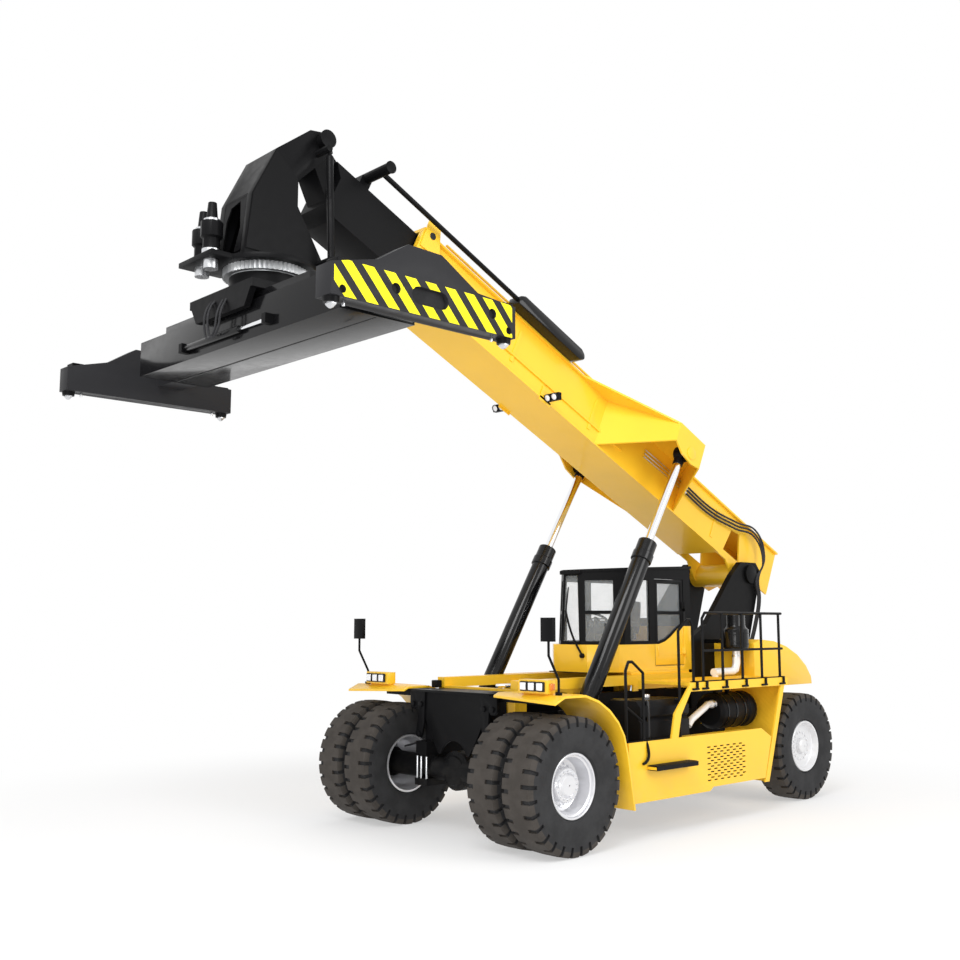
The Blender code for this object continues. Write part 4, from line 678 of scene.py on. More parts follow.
class STACKER_OT_tyres(bpy.types.Operator):
    """Make the six tyres with grooves between their shoulder lugs"""

    bl_idname = "stacker.tyres"
    bl_label = "Tyres"

    def template(self, lugs, depth):
        view = [(0.72, BEAD_R), (0.86, BEAD_R + 0.02), (0.95, BEAD_R + 0.06), (1, BEAD_R + 0.19)]
        view += [(0.99, TYRE_R - 0.13), (0.975, TYRE_R - 0.075)]
        view += [(0.94, TYRE_R - 0.030), (0.87, TYRE_R - 0.006)]
        near = [(TYRE_HALF * share, radius) for share, radius in view] + [(GROOVE_IN, TYRE_R)]
        outline = near + [(-along, radius) for along, radius in reversed(near)]
        steps = lugs * COLUMNS_A_LUG
        tyre = lathe("tyre", outline, (0, 0, 0), (1, 0, 0), steps)
        self.cut_grooves(tyre, steps, depth)
        return tyre

    def cut_grooves(self, tyre, steps, depth):
        """Pushes narrow columns of the shoulders inwards, staggered between the two sides."""
        step = 2 * math.pi / steps
        edit(tyre, "FACE", "DESELECT")
        close_edit()
        for face in tyre.data.polygons:
            centre = face.center
            radius = math.hypot(centre.y, centre.z)
            column = int((math.atan2(centre.z, centre.y) % (2 * math.pi)) / step)
            start = 0 if centre.x > 0 else COLUMNS_A_LUG // 2
            on_shoulder = GROOVE_IN < abs(centre.x) and radius > TYRE_R - SHOULDER_DROP
            face.select = on_shoulder and (column - start) % COLUMNS_A_LUG < GROOVE_COLUMNS
        bpy.ops.object.mode_set(mode="EDIT")
        bpy.ops.mesh.extrude_region_shrink_fatten(TRANSFORM_OT_shrink_fatten={"value": -depth})
        close_edit()

    def put(self, template, node, body, place):
        """A copy of the tyre at its place, with the tread's rubber on its lugs."""
        tyre = template.copy()
        tyre.data = template.data.copy()
        tyre.name = f"{node}_lugged"
        bpy.context.scene.collection.objects.link(tyre)
        tyre.data.transform(Matrix.Translation(place))
        settle(tyre, 28)
        finish(tyre, body, "sidewall")
        tyre.data.materials.append(LOOKS["tread"])
        for face in tyre.data.polygons:
            radius = math.hypot(face.center.y - place.y, face.center.z - place.z)
            on_side = abs(face.center.x - place.x) > TYRE_HALF * 0.90
            face.material_index = int(radius > TYRE_R - (SIDE_TREAD_DROP if on_side else TREAD_DROP))
        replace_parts(tyre, node)

    def execute(self, context):
        settings = settings_now()
        template = self.template(settings.lugs, settings.groove)
        for name, side in SIDES:
            front, rear = f"wheel_front_{name}", f"wheel_rear_{name}"
            inner_x = OUTER_X - TWIN_PITCH
            self.put(template, f"tyre_front_{name}_outer", front, at(side * OUTER_X, 0, TYRE_R))
            self.put(template, f"tyre_front_{name}_inner", front, at(side * inner_x, 0, TYRE_R))
            self.put(template, f"tyre_rear_{name}", rear, at(side * REAR_X, WHEELBASE, TYRE_R))
        bpy.data.objects.remove(template, do_unlink=True)
        return {"FINISHED"}


class STACKER_OT_rims(bpy.types.Operator):
    """Make the rims with their rolled lips, hubs and wheel nuts"""

    bl_idname = "stacker.rims"
    bl_label = "Rims"

    def execute(self, context):
        for name, side in SIDES:
            self.front(f"front_{name}", side)
            self.rear(f"rear_{name}", side)
        return {"FINISHED"}

    def front(self, name, side):
        r, end = RIM_R, OUTER_X + TYRE_HALF - FRONT_RIM_IN
        start = OUTER_X - TWIN_PITCH - TYRE_HALF + FRONT_RIM_IN
        view = [(0.012, r), (0.003, r - 0.004), (0, r - 0.014), (0.004, r - 0.026), (0.022, r - 0.034)]
        view += [(0.040, r - 0.034), (0.050, r - 0.055), (0.205, r - 0.068), (0.228, r - 0.080)]
        view += [(0.238, r - 0.105), (0.240, 0.212), (0.270, 0.212), (0.270, r - 0.09), (0.320, r - 0.04)]
        outline = [(start, r - 0.028), (start, r - 0.004), (start + 0.006, r)]
        outline += [(end - back, radius) for back, radius in view]
        place, way, wheel, look = at(0, 0, TYRE_R), (side, 0, 0), f"wheel_{name}", "rim_silver"
        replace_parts(turned(f"rim_{name}_turned", outline, place, way, 72, wheel, look), f"rim_{name}")
        hub = [(0, 0.01), (0, 0.205), (0.01, 0.213), (0.215, 0.213), (0.232, 0.200), (0.236, 0.150)]
        hub += [(0.250, 0.138), (0.266, 0.118), (0.268, 0.01)]
        foot = end - 0.34
        cap = [(foot + along, radius) for along, radius in hub]
        turned(f"hub_{name}", cap, place, way, 48, wheel, look)
        places = ring_of((side * (foot + 0.234), 0, TYRE_R), (1, 2), 0.172, 16)
        bolts(f"hub_bolts_{name}", places, way, 0.011, wheel)
        places = ring_of((side * (end - 0.240), 0, TYRE_R), (1, 2), 0.252, 20)
        bolts(f"wheel_nuts_{name}", places, way, 0.014, wheel)

    def rear(self, name, side):
        r, end = RIM_R, REAR_X + TYRE_HALF - REAR_RIM_IN
        view = [(0.40, r - 0.028), (0.40, r), (0.010, r), (0, r - 0.010), (0.003, r - 0.026)]
        view += [(0.040, r - 0.036), (0.090, r - 0.050), (0.100, r - 0.065), (0.100, 0.118)]
        view += [(0.130, 0.118), (0.130, r - 0.07), (0.200, r - 0.04)]
        outline = [(end - back, radius) for back, radius in view]
        place, way, wheel, look = at(0, WHEELBASE, TYRE_R), (side, 0, 0), f"wheel_{name}", "rim_white"
        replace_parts(turned(f"rim_{name}_turned", outline, place, way, 72, wheel, look), f"rim_{name}")
        hub = [(0, 0.01), (0, 0.117), (0.115, 0.117), (0.125, 0.108), (0.138, 0.086), (0.140, 0.01)]
        cap = [(end - 0.16 + along, radius) for along, radius in hub]
        turned(f"hub_{name}", cap, place, way, 40, wheel, look)
        places = ring_of((side * (end - 0.100), WHEELBASE, TYRE_R), (1, 2), 0.21, 16)
        bolts(f"wheel_nuts_{name}", places, way, 0.017, wheel, look)


# Cab


class STACKER_OT_glass(bpy.types.Operator):
    """Set the cab's window panes"""

    bl_idname = "stacker.glass"
    bl_label = "Window glass"

    def slanted(self, side, reach, z):
        """A point on a slanted corner pane: its reach from the windshield's post, and its height."""
        diagonal = math.sqrt(0.5)
        lean = -0.01 - 0.08 * (z - SILL) / (ROOF - SILL) - GLASS_DEPTH * math.sqrt(2)
        out = lean * diagonal
        x = 0.20 + reach * diagonal + out * diagonal
        y = CAB_FRONT + reach * diagonal - out * diagonal
        return at(side * x, y, z)

    def execute(self, context):
        low, top = SILL + PANE_RISE, ROOF - 0.083
        front = []
        for x, z in ((-0.178, low), (0.178, low), (0.132, top), (-0.132, top)):
            front.append(at(x, CAB_FRONT + 0.01 + 0.03 * (z - SILL) / (ROOF - SILL) + GLASS_DEPTH, z))
        plate("windshield", front, PANE, "cab", "glass")
        heights = (("low", low, MID_BAR - PANE_RISE), ("high", MID_BAR - 0.005, ROOF - 0.155))
        for name, side in SIDES:
            for word, z0, z1 in heights:
                corners = [self.slanted(side, reach, z) for reach, z in rectangle(0.074, 0.506, z0, z1)]
                plate(f"corner_pane_{name}_{word}", corners, PANE, "cab", "glass")
        x = CAB_HALF - GLASS_DEPTH
        sides = (
            ("side_pane_left", x, 2.815, 3.275, low),
            ("side_pane_right", -x, 2.815, 3.285, low),
            ("side_pane_right_rear", -x, 3.395, 4.085, SILL + 0.355),
        )
        for name, place, y0, y1, z0 in sides:
            corners = [at(place, y, z) for y, z in rectangle(y0, y1, z0, ROOF - 0.145)]
            plate(name, corners, PANE, "cab", "glass")
        rear = rectangle(-0.505, 0.505, SILL + 0.395, ROOF - 0.055)
        corners = [at(a, CAB_REAR - GLASS_DEPTH, z) for a, z in rear]
        plate("rear_pane", corners, PANE, "cab", "glass")
        low_door = ((3.47, 2.495), (3.50, 2.495), (3.66, 2.535), (3.80, 2.605), (3.98, 2.725))
        low_door += ((4.07, 2.765), (4.07, 2.915), (3.47, 2.915))
        high_door = rectangle(3.47, 4.07, 2.955, 3.385)
        for word, view in (("low", low_door), ("high", high_door)):
            corners = [at(x - 0.006, y, z) for y, z in view]
            plate(f"door_pane_{word}", corners, PANE, "cab_door", "tinted")
        return {"FINISHED"}


class STACKER_OT_cab_trim(bpy.types.Operator):
    """Add the wiper, a dark skid strip that also paints the shadow in the gap under the cab floor, visor, rain
    strips and door seams of the cab
    """

    bl_idname = "stacker.cab_trim"
    bl_label = "Cab trim"

    def execute(self, context):
        bar("wiper_blade", (-0.02, 2.205, 3.31), (-0.13, 2.195, 2.52), 0.011, "cab", "gasket", 10)
        route = [(-0.075, 2.20, 2.96), (0.02, 2.17, 2.74), (0.12, 2.165, 2.53), (0.25, 2.185, 2.31)]
        finish(hose("wiper_arm", [at(*place) for place in route], 0.016), "cab", "black")
        bar("wiper_motor", (0.25, 2.22, 2.30), (0.25, 2.165, 2.30), 0.035, "cab")
        # A dark rubber strip in the gap under the cab floor: partly the black skid, partly painted shadow in
        # the gap between the cab and the rails.
        block("cab_skid_and_shadow_strip", (-0.45, 2.23, 2.045), (0.45, 4.30, 2.062), "cab", "gasket", 0.003)
        block("roof_rear_bracket", (0.50, 4.30, 3.47), (0.56, 4.42, 3.50), "cab")
        block("screen_visor", (-0.20, 2.205, 3.50), (0.20, 2.26, 3.56), "cab", "black", 0.012)
        for name, side in SIDES:
            ends = [(side * 0.672, y, z) for y, z in ((2.80, 3.575), (4.30, 3.645))]
            bar(f"roof_gutter_{name}", *ends, 0.012, "cab", "black", 10)
        block("door_seam", (0.650, 3.392, 2.142), (0.6615, 3.399, 2.46), "cab", "gasket", 0.001)
        block("door_low_seam", (0.650, 3.40, 2.128), (0.6615, 4.12, 2.136), "cab", "gasket", 0.001)
        block("cab_monitor", (0.26, 2.50, 2.60), (0.44, 2.53, 2.78), "cab", "black_gloss", 0.008)
        bar("cab_monitor_stand", (0.35, 2.53, 2.46), (0.35, 2.535, 2.66), 0.012, "cab", "black", 12)
        for node, look in (("cab_controls", "black"), ("cab_frame", "black"), ("cab_body", "yellow")):
            dress(node, "cab", look, 0.006)
        dress("cab_door", "cab_door", "yellow")
        dress("cab_door_frame", "cab_door", "black")
        return {"FINISHED"}


class STACKER_OT_seat(bpy.types.Operator):
    """Make the padded driver's seat on its base"""

    bl_idname = "stacker.seat"
    bl_label = "Seat"

    def cushion(self, name, first, second, lean=0.0):
        """A crowned pad between two corners with sewn channels, leaning back by an angle."""
        deselect()
        low, high = span(at(*first), at(*second))
        size, middle = high - low, (low + high) / 2
        bpy.ops.mesh.primitive_cube_add(size=1, location=(0, 0, 0), scale=size)
        pad = added(name)
        settle(pad)
        edit(pad)
        bpy.ops.mesh.subdivide(number_cuts=15)
        close_edit()
        thin = min(range(3), key=lambda i: size[i])
        wide = [i for i in range(3) if i != thin]
        for vert in pad.data.vertices:
            a, b = (2 * vert.co[i] / size[i] for i in wide)
            crown = (1 - a**4) * (1 - b**4)
            channel = sum(math.exp(-(((vert.co.x - x) / 0.010) ** 2)) for x in (-0.09, 0.09))
            vert.co[thin] *= 0.62 + 0.38 * crown - 0.10 * channel * crown
            for i, other in ((wide[0], b), (wide[1], a)):
                vert.co[i] *= 1 - 0.05 * other * other
        rounded = pad.modifiers.new("round", "SUBSURF")
        rounded.levels = rounded.render_levels = 1
        bpy.context.view_layer.objects.active = pad
        bpy.ops.object.modifier_apply(modifier=rounded.name)
        pad.data.transform(Matrix.Translation(middle) @ Matrix.Rotation(lean, 4, "X"))
        settle(pad, 60)
        finish(pad, "cab", "cloth")
        return pad

    def execute(self, context):
        seat = self.cushion("seat_cushion", (-0.25, 3.02, 2.50), (0.25, 3.50, 2.64))
        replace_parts(seat, "cab_seat")
        self.cushion("seat_back", (-0.24, 3.50, 2.60), (0.24, 3.60, 3.12), math.radians(-8))
        for name, side in SIDES:
            self.cushion(f"armrest_{name}", (side * 0.28, 3.04, 2.72), (side * 0.36, 3.46, 2.80))
            corners = (side * 0.26, 3.26, 2.54), (side * 0.30, 3.34, 2.74)
            block(f"armrest_post_{name}", *corners, "cab", "black", 0.006)
        block("seat_base", (-0.20, 3.08, 2.122), (0.20, 3.46, 2.52), "cab", "black", 0.02)
        return {"FINISHED"}


# Lamps and mirrors


def lamp(name, centre, way, radius, body):
    """A round lamp: black rim and a domed, ribbed lens, pointing along a direction."""
    way = Vector(way).normalized()
    rim = [(0, 0.80), (0, 1), (0.020, 1.12), (0.034, 1.08), (0.034, 0.92)]
    outline = [(along, radius * share) for along, share in rim]
    turned(f"{name}_rim", outline, centre, way, 32, body, "gasket")
    glass = [(0.004, 0.002), (0.004, radius * 0.93), (0.026, radius * 0.93)]
    glass += [(0.032, radius * 0.6), (0.035, 0.002)]
    turned(f"{name}_lens", glass, centre, way, 32, body, "lens")


class STACKER_OT_lamps(bpy.types.Operator):
    """Add the lamps on the fenders and on the boom, and the mirrors"""

    bl_idname = "stacker.lamps"
    bl_label = "Lamps and mirrors"

    def execute(self, context):
        for name, side in SIDES:
            for i, x in enumerate((1.415, 1.555, 1.695)):
                self.fender_lamp(f"fender_lamp_{name}_{i}", at(side * x, -0.205, 2.0))
            dress(f"lights_{name}", "chassis", "yellow")
            corners = (side * 1.80, -0.17, 1.96), (side * 1.83, -0.10, 2.04)
            block(f"side_marker_{name}", *corners, "chassis", "amber", 0.006)
            dress(f"mirror_{name}", "chassis", "black", 0.022)
            corners = (side * 1.80, -0.246, 2.575), (side * 1.96, -0.2435, 2.815)
            block(f"mirror_glass_{name}", *corners, "chassis", "mirror", 0.001)
            self.boom_lamps(name, side)
        return {"FINISHED"}

    def fender_lamp(self, name, centre):
        """A square lamp: black frame and a lens that stands out of it."""
        for word, low, high, look in (
            ("frame", (-0.062, -0.032, -0.060), (0.062, 0.004, 0.060), "gasket"),
            ("lens", (-0.048, -0.046, -0.046), (0.048, -0.020, 0.046), "lens"),
        ):
            made = box(f"{name}_{word}", centre + Vector(low), centre + Vector(high), 0.010)
            finish(made, "chassis", look)

    def boom_lamps(self, name, side):
        """A pair of lamps that look down and forward from a bracket on the boom's side."""
        place = on_boom(side * BOOM_LAMP_X, *BOOM_LAMP_UV)
        low, high = Vector((-0.13, 0, -0.055)), Vector((0.13, 0.07, 0.055))
        finish(box(f"boom_lamp_case_{name}", place + low, place + high), "boom", "black")
        corners = [on_boom(side * LIP_X, u, v) for u, v in rectangle(5.26, 5.50, 0.02, 0.24)]
        plate(f"boom_lamp_bracket_{name}", corners, 0.016, "boom", "yellow")
        for word, shift in (("inner", -0.065), ("outer", 0.065)):
            centre = place + Vector((shift, 0.005, 0))
            lamp(f"boom_lamp_{name}_{word}", centre, (0, -0.94, -0.34), 0.052, "boom")


# Carrier


class STACKER_OT_body_trim(bpy.types.Operator):
    """Add clamps, step, muffler bands, pipes, caps and bolts of the carrier"""

    bl_idname = "stacker.body_trim"
    bl_label = "Carrier trim"

    def execute(self, context):
        self.walkway()
        self.engine_side()
        self.front_end()
        self.softened_nodes()
        return {"FINISHED"}

    def walkway(self):
        for i, y in enumerate(CLAMPS_Y):
            front, rear = y - CLAMP_HALF, y + CLAMP_HALF
            block(f"rail_clamp_{i}", (1.85, front, 1.962), (1.945, rear, 1.978))
            block(f"rail_leg_{i}", (1.925, front, 1.872), (1.945, rear, 1.972))
            block(f"rail_foot_{i}", (1.922, y - 0.11, 1.856), (1.950, y + 0.035, 1.884), edge=0.006)
        route = [(1.905, 1.56, 1.24), (1.935, 1.56, 1.16), (1.945, 1.555, 1.04)]
        route += [(1.945, 1.50, 0.98), (1.94, 1.45, 0.96)]
        finish(hose("step_rail_tail", [at(*place) for place in route], 0.019), "chassis", "black")
        block("step_tread", (STEP_IN, STEP_FRONT, 0.919), (STEP_OUT, STEP_REAR, STEP_TOP))
        block("step_front", (2.070, STEP_FRONT, STEP_LOW), (2.086, STEP_REAR, STEP_TOP))
        block("step_under", (STEP_IN, STEP_FRONT, STEP_LOW), (STEP_OUT, STEP_REAR, 0.882), edge=0.003)
        grip = box("step_bar", (-0.006, -0.44, -0.002), (0.006, 0.44, 0.006), 0.002)
        places = [Matrix.Translation(at(1.945 + 0.022 * i, 2.005, STEP_TOP)) for i in range(6)]
        finish(repeat("step_grip_bars", grip, places), "chassis", "black")
        for name, side in SIDES:
            strip = box("grip", (-0.40, -0.005, 0.0), (0.40, 0.005, 0.005), 0.002)
            rows = [at(side * 1.47, 2.62 + GRIP_PITCH * i, 1.959) for i in range(GRIPS)]
            places = [Matrix.Translation(place) for place in rows]
            finish(repeat(f"deck_grip_{name}", strip, places), "chassis", "yellow")

    def band(self, name, half, inner, outer, place, way, steps, look):
        """A flat ring around a pipe or a drum."""
        outline = [(-half, inner), (-half, outer), (half, outer), (half, inner)]
        turned(name, outline, at(*place), way, steps, "chassis", look)

    def engine_side(self):
        for i, y in enumerate((3.80, 4.02, 4.24, 4.50)):
            place = (MUFFLER_X, y, MUFFLER_Z)
            self.band(f"muffler_band_{i}", 0.012, 0.255, 0.266, place, ALONG_Y, 48, "black_gloss")
        self.band("exhaust_cuff", 0.02, 0.045, 0.062, (1.52, 3.60, 1.60), ALONG_Y, 32, "steel")
        self.band("intake_cuff_0", 0.015, 0.058, 0.068, (CLEANER_X, CLEANER_Y, 2.27), UP, 32, "steel")
        self.band("intake_cuff_1", 0.015, 0.058, 0.068, (CLEANER_X, 4.36, 2.03), ALONG_Y, 32, "steel")
        for i, z in enumerate((2.45, 2.62)):
            place = (CLEANER_X, CLEANER_Y, z)
            self.band(f"cleaner_band_{i}", 0.010, 0.195, 0.206, place, UP, 40, "black_gloss")
        for name, side, end in (("left", 1, 2.70), ("right", -1, 3.95)):
            for i, y in enumerate((1.80, end - 0.2)):
                corners = (side * 1.15, y - 0.03, 0.612), (side * 1.775, y + 0.03, 1.748)
                block(f"tank_strap_{name}_{i}", *corners, look="black_gloss", edge=0.02)
            ends = [(side * 1.45, 2.15, z) for z in (1.735, 1.80)]
            bar(f"tank_cap_{name}", *ends, 0.055, "chassis", "steel", 24)
        block("grille_backing", (1.898, 2.86, 0.58), (1.907, 3.86, 1.12), edge=0.002)
        places = [at(0.2 * s, 6.861, z) for s in (-1, 1) for z in (0.75, 1.05, 1.35)]
        bolts("counterweight_bolts", places, ALONG_Y, 0.022, "chassis")

    def front_end(self):
        bar("cab_slide_rod", (0.40, 0.30, 1.94), (0.40, 1.63, 1.94), 0.028, "chassis", "chrome", 24)
        ends = (0.40, 1.30, 1.94), (0.40, 2.10, 1.94)
        bar("cab_slide_barrel", *ends, 0.042, "chassis", "black_gloss", 24)
        block("far_rail_lug", (-0.80, 0.18, 1.876), (-0.70, 0.29, 1.98), edge=0.01)
        studs = [side * x for x in (0.45, 0.56, 0.64) for side in (1, -1)]
        for i, x in enumerate(studs):
            ends = (x, -0.198, 0.66), (x, -0.198, 0.985)
            bar(f"axle_stud_{i}", *ends, 0.0165, "chassis", "steel", 12)
        spots = ((0.624, 1.673), (0.787, 1.673), (0.667, 1.276))
        caps = [at(side * x, -0.152, z) for side in (1, -1) for x, z in spots]
        bolts("front_plate_bolts", caps, FORWARD, 0.020, "chassis", "black")
        ring = ring_of((0, -0.08, TYRE_R), (0, 2), 0.225, 12, 0.5)
        bolts("differential_bolts", ring, FORWARD, 0.013, "chassis", "black")
        for name, side in SIDES:
            corners = (side * 0.95, 0.20, 1.896), (side * 2.0, 0.215, 1.903)
            block(f"fender_edge_{name}", *corners, look="yellow", edge=0.002)
            route = ((0.52, -0.02, 1.34), (0.75, 0.02, 1.18), (1.0, 0.04, 1.10), (1.2, 0.04, 1.05))
            tube(f"brake_hose_{name}", [(side * x, y, z) for x, y, z in route], 0.013)

    def softened_nodes(self):
        jobs = (
            ("handrail_left", "black", 0.0),
            ("muffler", "black", 0.006),
            ("exhaust_pipe", "pipe", 0.0),
            ("intake_pipe", "pipe", 0.0),
            ("air_cleaner", "black_gloss", 0.006),
            ("drive_axle", "black", 0.006),
            ("front_plate", "black", 0.005),
            ("steer_axle", "black", 0.006),
            ("counterweight", "yellow", 0.015),
            ("fender_left", "yellow", 0.004),
            ("fender_right", "yellow", 0.004),
            ("tank_left", "black", 0.015),
            ("tank_right", "black", 0.015),
        )
        for node, look, edge in jobs:
            dress(node, "chassis", look, edge)
        for name, side in SIDES:
            dress(f"knuckle_{name}", f"knuckle_{name}", "black")


# Boom, head and spreader


class STACKER_OT_boom_trim(bpy.types.Operator):
    """Add hoses, fittings, ribs and the front ears of the boom, and finish the hoist cylinders"""

    bl_idname = "stacker.boom_trim"
    bl_label = "Boom trim"

    def execute(self, context):
        for i in range(3):
            self.foot_hose(i, settings_now().hose_radius)
        for name, side in SIDES:
            self.side_details(name, side)
            self.cylinder(name, side)
        dress("guide_tray_left", "boom", "black_gloss", 0.03)
        dress("guide_tray_right", "boom", "black_gloss", 0.03)
        dress("boom_inner", "boom_inner", "black", 0.006, 20)
        dress("boom_outer", "boom", "yellow", 0.006, 12)
        return {"FINISHED"}

    def foot_hose(self, i, radius):
        """A hose from the boom over its foot pin to the tower, with its nut and feed pipe."""
        v = 0.62 - 0.06 * i
        route = [on_boom(HOSE_X, 2.0, v), on_boom(0.445, 1.2, v), on_boom(0.47, 0.5, v + 0.12)]
        route += [on_boom(0.52, -0.05, v + 0.22), on_boom(0.58, -0.32, v - 0.10)]
        low_end = at(0.63 + 0.01 * i, 6.32 - 0.05 * i, 3.50)
        drops = ((0, 0, 0), (0, 0.04, -0.30), (0, -0.10, -0.75), (0, -0.30, -1.15))
        route += [low_end + Vector(drop) for drop in drops]
        pipe = finish(hose(f"boom_hose_{i}", route, radius), None, "hose")
        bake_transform(pipe)
        nut = rod(f"hose_nut_{i}", on_boom(HOSE_X, 1.94, v), on_boom(HOSE_X, 2.06, v), radius * 1.5, 6)
        finish(nut, "boom", "steel")
        route = [on_boom(HOSE_X, 2.05, v), on_boom(HOSE_X, 2.5, v), on_boom(0.42, 3.1, v)]
        finish(hose(f"boom_feed_{i}", route, radius * 0.8), "boom", "steel")

    def side_details(self, name, side):
        for i, u in enumerate((1.0, 4.4, 6.2, 7.7)):
            view = rectangle(u - 0.03, u + 0.03, 0.20, 0.72)
            corners = [on_boom(side * RIB_X, *spot) for spot in view]
            plate(f"boom_rib_{name}_{i}", corners, 0.014, "boom", "yellow")
        for i, v in enumerate((0.30, 0.93)):
            view = rectangle(3.60, 7.90, v - 0.012, v + 0.012)
            corners = [on_boom(side * LIP_X, *spot) for spot in view]
            plate(f"boom_lip_{name}_{i}", corners, 0.028, "boom", "yellow")
        view = ((7.95, 0.62), (8.30, 0.60), (8.32, 1.02), (8.12, 1.04))
        corners = [on_boom(side * 0.462, *spot) for spot in view]
        plate(f"front_ear_{name}", corners, 0.02, "boom", "yellow")
        pins = (
            ("front_ear_hole", (0.46, 0.476), (8.18, 0.84), 0.05, 24, "gasket"),
            ("wing_pin", (1.08, 1.195), EYE_UV, 0.07, 28, "black"),
            ("wing_pin_plate", (1.195, 1.212), EYE_UV, 0.10, 28, "yellow"),
            ("foot_pin_plate", (0.605, 0.645), (0, 0), 0.155, 32, "black"),
        )
        for word, reach, spot, radius, sides, look in pins:
            ends = [on_boom(side * x, *spot) for x in reach]
            finish(rod(f"{word}_{name}", *ends, radius, sides), "boom", look)

    def cylinder(self, name, side):
        """Barrel and rod turned smooth, with the eyes at their ends."""
        base = at(side * HOIST_X, HOIST_Y, HOIST_Z)
        eye = on_boom(side * HOIST_X, *EYE_UV)
        length, way = (eye - base).length, (eye - base).normalized()
        barrel, ram = f"hoist_barrel_{name}", f"hoist_rod_{name}"
        bore, lip, across = ROD_R + 0.0006, BARREL_R + 0.009, (1, 0, 0)
        outline = [(BARREL_FLOOR, 0.01), (0.05, 0.01), (0.05, 0.095), (0.20, 0.10)]
        outline += [(0.25, BARREL_R - 0.012), (0.28, BARREL_R), (COLLAR_AT, BARREL_R)]
        outline += [(COLLAR_AT + 0.004, COLLAR_R - 0.006), (COLLAR_AT + 0.012, COLLAR_R)]
        outline += [(COLLAR_AT + 0.132, COLLAR_R), (COLLAR_AT + 0.140, COLLAR_R - 0.006)]
        outline += [(COLLAR_AT + 0.146, lip), (BARREL_END - 0.008, lip)]
        outline += [(BARREL_END, BARREL_R + 0.002), (BARREL_END, bore), (BARREL_FLOOR, bore)]
        made = turned(f"{barrel}_turned", outline, base, way, 64, barrel, "black_gloss")
        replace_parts(made, barrel)
        ring = [(-0.1295, 0.0625), (-0.1295, 0.132), (-0.122, 0.14)]
        ring += [(0.122, 0.14), (0.1295, 0.132), (0.1295, 0.0625)]
        turned(f"{barrel}_eye", ring, base, across, 40, barrel, "black_gloss")
        end = length - 0.11
        view = [(ROD_FOOT, 0.01), (ROD_FOOT, ROD_R), (end, ROD_R), (end, 0.01)]
        made = turned(f"{ram}_turned", view, base, way, 48, ram, "chrome")
        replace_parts(made, ram)
        ring = [(-0.07, 0.01), (-0.07, 0.117), (-0.062, 0.125), (0.062, 0.125), (0.07, 0.117), (0.07, 0.01)]
        turned(f"{ram}_eye", ring, eye, across, 40, ram)
        start, end = length - 0.20, length - 0.10
        collar = [(start, 0.02), (start, 0.078), (end, 0.084), (end, 0.02)]
        turned(f"{ram}_socket", collar, base, way, 40, ram)
        low, high = Vector((-0.05, -0.21, 0.30)), Vector((0.05, -0.12, 0.42))
        finish(box(f"hoist_valve_{name}", base + low, base + high, 0.01), barrel, "black")


